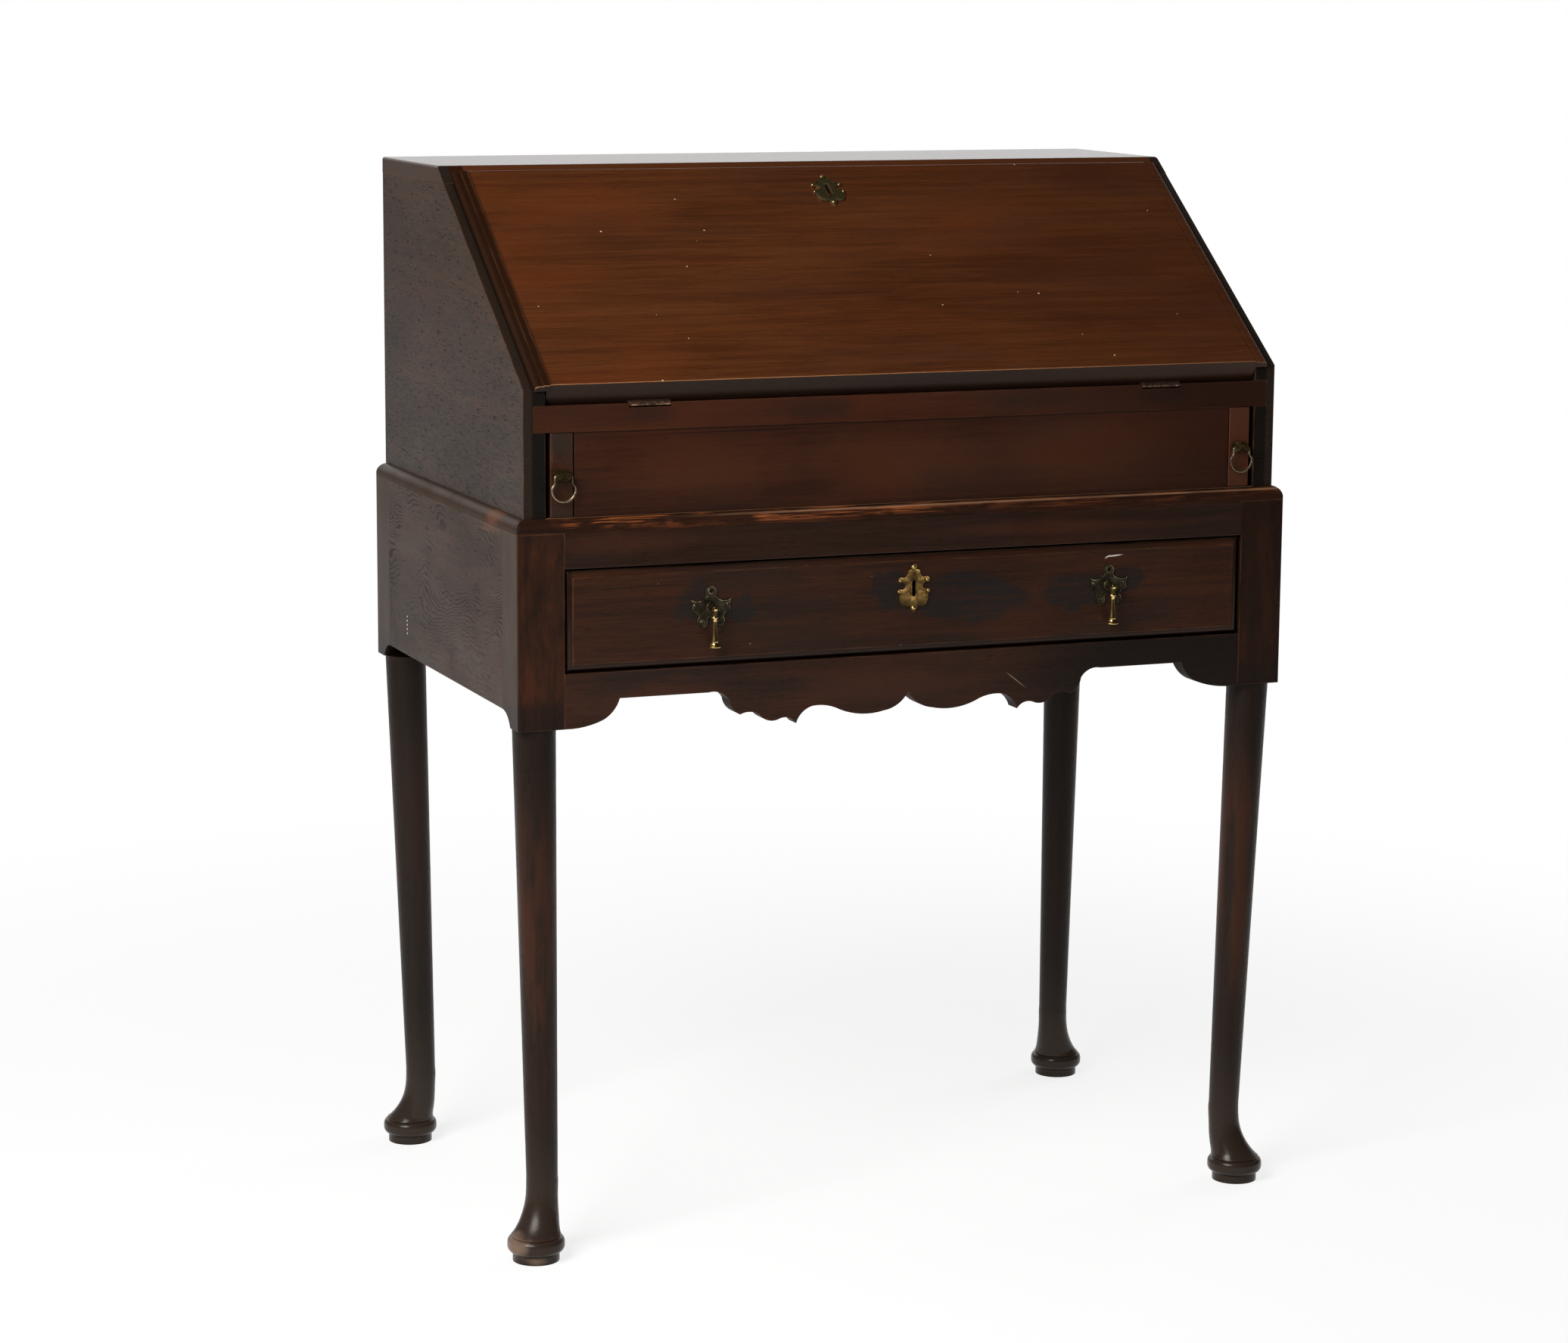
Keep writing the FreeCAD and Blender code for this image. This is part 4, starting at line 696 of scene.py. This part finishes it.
def top_marks(paint, base, wood):
    """The slanted front edge goes with the fall, but is dark beyond the fall's lip."""
    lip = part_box("fall_board")[1].x
    across = paint.along("X")
    edge = paint.outward("Y").ramp(*LOOKS_FRONT)
    base = base.coated(edge * 0.9, between(wood.fall_light, wood.fall_dark, 0.35))
    strip = across.ramp(0.0155 - lip, 0.0135 - lip)
    base = base.coated(strip * edge * 0.9, scaled(wood.fall_dark, 0.35))
    base = paint.sideways(base, wood.side_light, wood.side_dark, 0.95)
    beyond = edge * abs(across).ramp(lip - 0.0005, lip + 0.0005)
    return base.coated(beyond * 0.9, BOX_EDGE)


def top_shine(paint):
    """The ends of the top board are as dull as the sides."""
    return abs(paint.outward("X")).ramp(*LOOKS_ASIDE, 0.25, 0.08)


def fall_marks(paint, base, wood):
    """A dark moulding on the left, a dark back with painted shade on the lower edge, a foot worn to bare
    wood, dull patches, painted shade to the right and pale chips.
    """
    low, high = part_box("fall_board")
    strip = 0.0165 - high.x
    base = paint.fade(base, "X", strip + 0.001, strip - 0.003, 0.92, scaled(wood.fall_dark, 0.28, 0.4, 0.6))
    facing = paint.part(paint.read("TexCoord", "Normal"), "Z")
    # Faces that look down with the fall shut: a dark inner face, and painted shade on the lower edge
    base = base.coated(facing.ramp(-0.30, -0.50, 0.0, 0.85), FALL_BACK_AND_EDGE_SHADE)
    up_slope = seat("fall_escutcheon")[0].col[1].to_3d()
    foot = span([v.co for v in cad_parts["fall_board"].data.vertices], up_slope)[0]
    reach = paint.noise(40.0, 4.0, 0.6) * 0.0022 + 0.0004
    worn = (paint.dot(paint.place, tuple(up_slope)) - foot).ramp(reach, 0.0) * facing.ramp(0.2, 0.6)
    base = base.coated(worn * 0.75, FALL_FOOT)
    dull = [((high.x * 0.80, high.y, high.z - 0.020), (0.10, 0.09, 0.05)),
            ((high.x * 0.10, high.y, high.z - 0.030), (0.10, 0.05, 0.02)),
            ((high.x * 0.55, (low.y + high.y) / 2, (low.z + high.z) / 2), (0.16, 0.05, 0.02))]
    base = paint.dirt(base, dull, scaled(wood.fall_dark, 0.8), 0.6)
    # Painted shade: darker towards the right, away from the key lamp
    base = paint.fade(base, "X", 0.0, high.x, 0.30, wood.fall_dark)
    return base.coated(facing.ramp(0.3, 0.5), paint.specks(base, 40.0, FALL_CHIP, 0.9))


# Wooden finishes: name, tones, way of the grain, offset of its figure, share of the arris, nodes, settings
STAND, BOX, INSIDE, OAK = (3.0, 1.0, 7.0), (1.0, 5.0, 2.0), (6.0, 3.0, 5.0), (2.0, 6.0, 1.0)
DRY = {"gloss": 0.64, "specular": 0.2, "ridges": 0.6}
WOODWORK = (
    ("Stand mahogany, leg", "leg", "Z", STAND, 1.0, LEGS,
     {"marks": leg_marks, "gloss": leg_gloss, "specular": 0.18, "wear": 0.7}),
    ("Stand mahogany, side", "side", "Y", STAND, 1.0, ("stand_side_left", "stand_side_right"),
     {"marks": stand_side_marks, "specular": 0.19, "ripple": 0.85, "pore": 560.0, "flecks": 0.8}),
    ("Stand mahogany, rim", "stand", "X", STAND, 1.0, ("stand_rim",),
     {"marks": rim_marks, "gloss": 0.48, "specular": 0.10, "wear": 0.3}),
    ("Stand mahogany, rail", "stand", "X", STAND, 1.0, ("stand_top_rail",),
     {"marks": top_rail_marks, "gloss": 0.40, "wear": 0.4, "cloudy": 0.6}),
    ("Stand mahogany, apron", "stand", "X", STAND, 1.0, ("apron",),
     {"marks": apron_marks, "gloss": 0.40, "specular": front_shine, "wear": 0.6, "cloudy": 0.6}),
    ("Drawer mahogany", "drawer", "X", (9.0, 2.0, 4.0), 0.5, ("drawer_front",),
     {"marks": drawer_marks, "gloss": 0.38, "cloudy": 0.6}),
    ("Box mahogany, front", "box", "X", BOX, 1.0, ("desk_front_rail",),
     {"marks": box_rail_marks, "gloss": 0.40, "wear": 0.3}),
    ("Box mahogany, well", "box", "X", BOX, 1.0, ("well_front",),
     {"marks": well_marks, "gloss": 0.40, "wear": 0.15}),
    ("Box mahogany, top", "box", "X", BOX, 1.0, ("desk_top",),
     {"marks": top_marks, "gloss": 0.36, "specular": top_shine, "uneven": 0.0, "corner_shade": 0.3}),
    ("Box mahogany, lopers", "box", "Y", BOX, 1.0, ("loper_left", "loper_right"),
     {"marks": loper_marks, "gloss": 0.40}),
    ("Box mahogany, sides", "side", "Y", BOX, 1.0, ("desk_side_left", "desk_side_right"),
     {"marks": box_side_marks, "gloss": 0.40, "specular": box_side_shine, "flecks": 1.0, "pore": 440.0,
      "ripple": 0.25, "spacing": 0.0036, "uneven": 0.15}),
    ("Fall mahogany", "fall", "X", (4.0, 8.0, 6.0), 0.5, ("fall_board",),
     {"marks": fall_marks, "specular": 0.15, "wear": 0.35, "cloudy": 0.15, "corner_shade": 0.4}),
    ("Inside mahogany X", "inside", "X", INSIDE, 0.5, INSIDE_LONG, {"gloss": 0.46}),
    ("Inside mahogany Y", "inside", "Y", INSIDE, 0.5, INSIDE_DEEP, {"gloss": 0.46}),
    ("Dry oak X", "oak", "X", OAK, 0.5, OAK_LONG, DRY),
    ("Dry oak Y", "oak", "Y", OAK, 0.5, OAK_DEEP, DRY),
)


# Pieces

def finish_nodes(names, material, arris):
    """Give nodes of the frame their material and softly rounded arrises."""
    for name in names:
        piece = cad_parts[name]
        for slot in piece.material_slots:
            slot.link = "OBJECT"
            slot.material = material
        weld = piece.modifiers.new("Joined faces", "WELD")
        weld.merge_threshold = WELD_REACH
        bevel = piece.modifiers.new("Arris", "BEVEL")
        bevel.width = arris
        bevel.segments = 2
        bevel.limit_method = "ANGLE"
        bevel.angle_limit = ARRIS_ANGLE
        bevel.use_clamp_overlap = True
        shading = piece.modifiers.new("Shading", "WEIGHTED_NORMAL")
        shading.weight = 100
        shading.keep_sharp = False


def new_piece(name, bm, material, body):
    """Turn a bmesh into a piece that rides on a body."""
    mesh = bpy.data.meshes.new(name)
    bmesh.ops.recalc_face_normals(bm, faces=bm.faces)
    for face in bm.faces:
        face.smooth = True
    bm.to_mesh(mesh)
    bm.free()
    mesh.set_sharp_from_angle(angle=SHARP_ANGLE)
    mesh.materials.append(material)
    piece = bpy.data.objects.new(name, mesh)
    bpy.context.scene.collection.objects.link(piece)
    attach(piece, body)
    return piece


def linked(start):
    """All vertices joined by edges to the ones given."""
    reached = set(start)
    ahead = list(start)
    while ahead:
        vert = ahead.pop()
        for edge in vert.link_edges:
            other = edge.other_vert(vert)
            if other not in reached:
                reached.add(other)
                ahead.append(other)
    return list(reached)


def turned(bm, profile, turns, place):
    """Spin a profile of (radius, height) points about Z, then move it to its place."""
    points = [bm.verts.new((radius, 0.0, height)) for radius, height in profile]
    edges = [bm.edges.new(pair) for pair in zip(points, points[1:])]
    bmesh.ops.spin(bm, geom=points + edges, cent=(0, 0, 0), axis=UP, angle=2 * math.pi,
                   steps=turns, use_merge=True)
    verts = linked([v for v in points if v.is_valid])
    bmesh.ops.remove_doubles(bm, verts=verts, dist=1e-7)
    bmesh.ops.transform(bm, matrix=place, verts=[v for v in verts if v.is_valid])


def dome(radius):
    """Profile of a nail head."""
    return [(0.0, radius * 0.62), (radius * 0.45, radius * 0.54), (radius * 0.80, radius * 0.30),
            (radius, 0.0), (radius, -radius * 0.3), (0.0, -radius * 0.3)]


def ring(radius, wire):
    """Closed profile of a bead round a lobe."""
    turns = [2 * math.pi * i / 8 for i in range(9)]
    return [(radius + wire * math.cos(turn), wire * math.sin(turn)) for turn in turns]


def span(points, way):
    """Lowest and highest of the points along a direction."""
    levels = [point.dot(way) for point in points]
    return min(levels), max(levels)


def flat_way(mesh, near):
    """Direction of the mesh's largest flat side that faces about the way given."""
    areas = {}
    for face in mesh.polygons:
        if face.normal.dot(near) > 0.3:
            key = tuple(round(c, 3) for c in face.normal)
            areas[key] = areas.get(key, 0.0) + face.area
    return Vector(max(areas, key=areas.get)).normalized()


def upright(out, at):
    """Frame at a point with X to the right, Y up the face and Z out of it."""
    place = Matrix((RIGHT, out.cross(RIGHT), out)).transposed().to_4x4()
    place.translation = at
    return place


def seat(name, side=0):
    """Frame on a flat fitting's face, with its half width and half height."""
    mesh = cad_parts[name].data
    out = flat_way(mesh, FRONT)
    up = out.cross(RIGHT)
    points = [v.co for v in mesh.vertices if side == 0 or v.co.x * side > 0]
    (left, right), (foot, head), face = span(points, RIGHT), span(points, up), span(points, out)[1]
    middle = RIGHT * (left + right) / 2 + up * (foot + head) / 2 + out * face
    return upright(out, middle), (right - left) / 2, (head - foot) / 2


def stud(bm, seated, spot, profile, brass):
    """Turn a small profile on a plate, at shares of its half width and half height."""
    place, half_width, half_height = seated
    at = Matrix.Translation((half_width * spot[0], half_height * spot[1], -brass.sink))
    turned(bm, profile, brass.turns, place @ at)


def relief_plate(name, source, material, body, brass):
    """Copy of a flat plate whose face is sunk inside a raised border and marked for its tarnish."""
    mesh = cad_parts[source].data
    out = flat_way(mesh, FRONT)
    face_level = span([v.co for v in mesh.vertices], out)[1]
    bm = bmesh.new()
    bm.from_mesh(mesh)
    layer = bm.faces.layers.float.new("sunk")
    bmesh.ops.remove_doubles(bm, verts=bm.verts, dist=WELD_REACH)
    bmesh.ops.recalc_face_normals(bm, faces=bm.faces)
    front = [f for f in bm.faces if f.normal.dot(out) > 0.99
             and abs(f.calc_center_median().dot(out) - face_level) < 1e-5]
    bmesh.ops.inset_region(bm, faces=front, thickness=brass.border, depth=0.0, use_even_offset=True,
                           use_boundary=True)
    bmesh.ops.translate(bm, vec=-out * brass.sink, verts=list({v for f in front for v in f.verts}))
    for face in front:
        face[layer] = 1.0
    plate = new_piece(name, bm, material, body)
    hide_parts(source)


class BUREAU_OT_woodwork(Operator):
    """Polish the stand, the box, the fall and the inner boards, and round their arrises"""
    bl_idname = "bureau.woodwork"
    bl_label = "Finish Woodwork"

    def execute(self, context):
        wood = context.scene.bureau_wood
        for name, tones, axis, offset, arris, nodes, settings in WOODWORK:
            pair = getattr(wood, tones + "_light"), getattr(wood, tones + "_dark")
            material = polished_wood(name, *pair, axis, wood, offset, **settings)
            finish_nodes(nodes, material, wood.arris * arris)
        return {"FINISHED"}


class BUREAU_OT_metalwork(Operator):
    """Finish the locks, hinges, pulls, drops, plates and knobs"""
    bl_idname = "bureau.metalwork"
    bl_label = "Finish Metalwork"

    def execute(self, context):
        brass = context.scene.bureau_brass
        dim, tarnish = scaled(brass.bright, 0.7), scaled(brass.tarnish, 0.5)
        looks = (
            ((*BAILS, *KNOBS), "Old brass", OLD_BRASS, OLD_TARNISH, 0.32, 75.0, 0.44),
            (DARK_BRASS, "Dark brass", dim, tarnish, 0.30, 90.0, 0.34),
            (HINGES, "Hinge brass", HINGE_BRASS, HINGE_TARNISH, 0.34, 160.0, 0.46),
            (DROPS, "Rubbed brass", brass.bright, brass.tarnish, 0.18, 60.0, 0.68),
            (LOCKS, "Old iron", brass.iron, scaled(brass.iron, 0.45), 0.48, 45.0, 0.5),
        )
        for nodes, name, bright, tarnished, roughness, patches, bias in looks:
            finish_nodes(nodes, metal(name, bright, tarnished, roughness, patches, bias), brass.arris)
        return {"FINISHED"}


class BUREAU_OT_plates(Operator):
    """Replace the flat keyhole and pull plates by ones with raised borders, beads and nail heads"""
    bl_idname = "bureau.plates"
    bl_label = "Model Plates"

    def execute(self, context):
        brass = context.scene.bureau_brass
        gold = metal("Drawer plate brass", *GOLD_PLATE, 0.30, 150.0, 0.50, sunk=0.30)
        olive = metal("Fall plate brass", *OLIVE_PLATE, 0.26, 140.0, 0.54, sunk=0.35)
        dark = metal("Rosette brass", *DARK_PLATE, 0.34, 170.0, 0.40, rubbed=0.8, sunk=0.95)
        nail = metal("Nail brass", scaled(brass.bright, 0.8), brass.tarnish, 0.30, 160.0, 0.56)
        relief_plate("drawer_keyhole_plate", "drawer_escutcheon", gold, "stand_drawer", brass)
        relief_plate("fall_keyhole_plate", "fall_escutcheon", olive, "fall", brass)
        relief_plate("drop_pull_rosettes", "drop_pull_plates", dark, "stand_drawer", brass)
        self.nail_keyhole_plate("drawer_escutcheon", "stand_drawer", nail, brass)
        self.nail_keyhole_plate("fall_escutcheon", "fall", nail, brass)
        self.bead_rosettes(dark, brass)
        return {"FINISHED"}

    def nail_keyhole_plate(self, source, body, material, brass):
        """Nail heads above and below the keyhole, and a ball at the end of each shoulder curl."""
        bm = bmesh.new()
        for spot in NAIL_SPOTS:
            stud(bm, seat(source), spot, dome(brass.nail_radius), brass)
        for spot in CURL_SPOTS:
            stud(bm, seat(source), spot, dome(brass.nail_radius * 0.62), brass)
        new_piece(source + "_nails", bm, material, body)

    def bead_rosettes(self, material, brass):
        """Ringed lobes and a collar round the stem of each drop pull."""
        bm = bmesh.new()
        for side in (1, -1):
            seated = seat("drop_pull_plates", side)
            stud(bm, seated, (0.0, 0.79), ring(TOP_LOBE, LOBE_WIRE), brass)
            for spot in LOBE_SPOTS:
                stud(bm, seated, spot, ring(SIDE_LOBE, LOBE_WIRE), brass)
                stud(bm, seated, spot, dome(SIDE_LOBE / 2), brass)
            for spot in ARM_SPOTS:
                stud(bm, seated, spot, dome(brass.nail_radius * 0.6), brass)
            stud(bm, seated, (0.0, 0.0), ring(brass.collar_radius, COLLAR_WIRE), brass)
        new_piece("drop_pull_beads", bm, material, "stand_drawer")


class BUREAU_OT_screws(Operator):
    """Set slotted screws in the leaves of the fall's hinges"""
    bl_idname = "bureau.screws"
    bl_label = "Set Screws"

    def execute(self, context):
        brass = context.scene.bureau_brass
        material = metal("Screw brass", brass.bright, brass.tarnish, 0.34, 200.0, 0.48)
        fall_way = -seat("fall_escutcheon")[0].col[2].to_3d()
        for source, body, way in (("case_hinge_leaves", "case", UP),
                                  ("fall_hinge_leaves", "fall", fall_way)):
            bm = bmesh.new()
            for side in (1, -1):
                self.set_row(bm, source, side, way, brass)
            new_piece(source + "_screws", bm, material, body)
        return {"FINISHED"}

    def set_row(self, bm, source, side, way, brass):
        """Three screws along one leaf, the middle one further back than the others."""
        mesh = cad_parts[source].data
        out = flat_way(mesh, way)
        up = out.cross(RIGHT)
        leaf = [f for f in mesh.polygons if f.normal.dot(out) > 0.999 and f.center.x * side > 0]
        points = [mesh.vertices[i].co for f in leaf for i in f.vertices]
        left, right = span(points, RIGHT)
        low, high = span(points, up)
        near, far = (low, high) if up.y > 0 else (high, low)
        level = max(leaf, key=lambda f: f.area).center.dot(out)
        for share, depth in SCREW_SPOTS:
            at = RIGHT * part_way(left, right, share) + up * part_way(near, far, depth) + out * level
            self.set_screw(bm, upright(out, at) @ Matrix.Rotation(0.7 + 2.1 * share, 4, "Z"), brass)

    def set_screw(self, bm, place, brass):
        """Countersunk head whose slot is sunk between two half discs."""
        radius = brass.screw_radius
        verts = bmesh.ops.create_circle(bm, cap_ends=True, radius=radius, segments=brass.turns)["verts"]
        for offset in (-0.14, 0.14):
            faces = list({f for v in verts for f in v.link_faces})
            edges = list({e for v in verts for e in v.link_edges})
            bmesh.ops.bisect_plane(bm, geom=verts + edges + faces, plane_co=(0, radius * offset, 0),
                                   plane_no=(0, 1, 0))
            verts = linked([v for v in verts if v.is_valid][:1])
        slot = [f for f in {f for v in verts for f in v.link_faces}
                if abs(f.calc_center_median().y) < radius * 0.1]
        bmesh.ops.inset_region(bm, faces=slot, thickness=radius * 0.02, depth=-radius * 0.22)
        rim = [e for e in {e for v in linked(verts[:1]) for e in v.link_edges} if e.is_boundary]
        skirt = bmesh.ops.extrude_edge_only(bm, edges=rim)
        low = [v for v in skirt["geom"] if isinstance(v, bmesh.types.BMVert)]
        bmesh.ops.translate(bm, vec=(0, 0, -radius * 0.35), verts=low)
        bmesh.ops.transform(bm, matrix=place @ Matrix.Translation((0, 0, radius * 0.05)),
                            verts=linked(verts[:1]))


class BUREAU_OT_stage(Operator):
    """Lay the floor, hang the lamps and set up the camera"""
    bl_idname = "bureau.stage"
    bl_label = "Set Stage"

    def execute(self, context):
        studio = context.scene.bureau_studio
        self.lay_floor(studio)
        self.light_world(context, studio)
        for name, place, aim, size, setting, in_polish in LAMPS:
            self.hang_lamp(name, place, aim, size, getattr(studio, setting), in_polish)
        self.place_camera(context, studio)
        return {"FINISHED"}

    def lay_floor(self, studio):
        bm = bmesh.new()
        bmesh.ops.create_circle(bm, cap_ends=True, radius=studio.floor_size, segments=96)
        mesh = bpy.data.meshes.new("floor")
        bm.to_mesh(mesh)
        bm.free()
        mesh.materials.append(self.floor_material(studio))
        floor = bpy.data.objects.new("floor", mesh)
        bpy.context.scene.collection.objects.link(floor)

    def floor_material(self, studio):
        """Pale floor that fades to white outwards, but lights the object with its own colour."""
        material, paint = new_material("Pale floor")
        tint = paint.mix(paint.noise(2.0, 3.0).ramp(0.3, 0.7), studio.floor_colour,
                         scaled(studio.floor_colour, 0.985))
        rim = paint.length(paint.place).ramp(studio.floor_size * 0.25, studio.floor_size * 0.85,
                                             studio.floor_lift, 1.0)
        shown = paint.seen_by("Camera", "Glossy", "Transmission")
        diffuse = paint.read("BsdfDiffuse", 0, {"Color": tint})
        white = paint.read("Emission", 0, {"Color": rgba(WHITE), "Strength": 1.0})
        paint.node("OutputMaterial", {
            "Surface": paint.read("MixShader", 0, {0: rim * shown, 1: diffuse, 2: white})})
        return material

    def light_world(self, context, studio):
        """White to the camera; polish and metal see it behind the object, and a dim room in front."""
        world = bpy.data.worlds.new("Studio")
        context.scene.world = world
        world.use_nodes = True
        paint = Paint(world.node_tree, "Generated")
        across, back, up = (paint.along(axis) for axis in "XYZ")
        screen = back.ramp(0.15, 0.75) * up.ramp(0.75, 0.40) * up.ramp(-0.10, 0.06)
        screen = screen * across.ramp(-0.45, 0.15, 0.26, 1.0)
        ground = up.ramp(0.10, -0.18) * back.ramp(-0.5, 0.5, studio.ground_front, studio.ground_back)
        seen = highest(ground, screen) + studio.room
        mirrored = paint.seen_by("Glossy", "Transmission")
        lit = mirrored * seen + (1.0 - mirrored) * studio.fill
        camera = paint.seen_by("Camera")
        light = camera + (1.0 - camera) * lit
        paint.node("OutputWorld", {
            "Surface": paint.read("Background", 0, {"Color": rgba(WHITE), "Strength": light})})

    def hang_lamp(self, name, place, aim, size, watts, in_polish):
        data = bpy.data.lights.new(name, "AREA")
        data.shape = "RECTANGLE"
        data.size, data.size_y = size
        data.energy = watts
        lamp = bpy.data.objects.new(name, data)
        lamp.location = place
        lamp.rotation_euler = (Vector(aim) - Vector(place)).to_track_quat("-Z", "Y").to_euler()
        lamp.visible_camera = False
        lamp.visible_glossy = in_polish
        bpy.context.scene.collection.objects.link(lamp)

    def place_camera(self, context, studio):
        a, e, roll = studio.azimuth, studio.elevation, studio.roll
        back = Vector((math.sin(a) * math.cos(e), -math.cos(a) * math.cos(e), math.sin(e)))
        right = UP.cross(back).normalized()
        up = back.cross(right)
        turned_right = right * math.cos(roll) + up * math.sin(roll)
        turned_up = up * math.cos(roll) - right * math.sin(roll)
        data = bpy.data.cameras.new("Camera")
        data.sensor_fit = "HORIZONTAL"
        data.sensor_width = 36.0
        data.lens = data.sensor_width * studio.focal_share
        camera = bpy.data.objects.new("Camera", data)
        turn = Matrix((turned_right, turned_up, back)).transposed().to_4x4()
        camera.matrix_world = Matrix.Translation(Vector(studio.target) + back * studio.distance) @ turn
        context.scene.collection.objects.link(camera)
        context.scene.camera = camera
        context.scene.view_settings.view_transform = "Standard"


class BUREAU_PT_panel(Panel):
    """Sizes, colours and steps of the bureau"""
    bl_label = "Bureau"
    bl_space_type = "VIEW_3D"
    bl_region_type = "UI"
    bl_category = "Bureau"

    def draw(self, context):
        for setting, (label, group) in SETTINGS.items():
            box = self.layout.box()
            box.label(text=label)
            for name in group.__annotations__:
                box.prop(getattr(context.scene, setting), name)
        for operator in OPERATORS:
            self.layout.operator(operator.bl_idname)


OPERATORS = (BUREAU_OT_woodwork, BUREAU_OT_metalwork, BUREAU_OT_plates, BUREAU_OT_screws, BUREAU_OT_stage)
SETTINGS = {"bureau_wood": ("Wood", BureauWoodSettings), "bureau_brass": ("Metal", BureauBrassSettings),
            "bureau_studio": ("Studio", BureauStudioSettings)}
CLASSES = (*[group for label, group in SETTINGS.values()], *OPERATORS, BUREAU_PT_panel)


def register():
    for made in CLASSES:
        bpy.utils.register_class(made)
    for setting, (label, group) in SETTINGS.items():
        setattr(bpy.types.Scene, setting, PointerProperty(type=group))


def unregister():
    for setting in SETTINGS:
        delattr(bpy.types.Scene, setting)
    for made in reversed(CLASSES):
        bpy.utils.unregister_class(made)


def main():
    register()
    bpy.ops.bureau.woodwork()
    bpy.ops.bureau.metalwork()
    bpy.ops.bureau.plates()
    bpy.ops.bureau.screws()
    bpy.ops.bureau.stage()


if __name__ == "__main__":
    main()
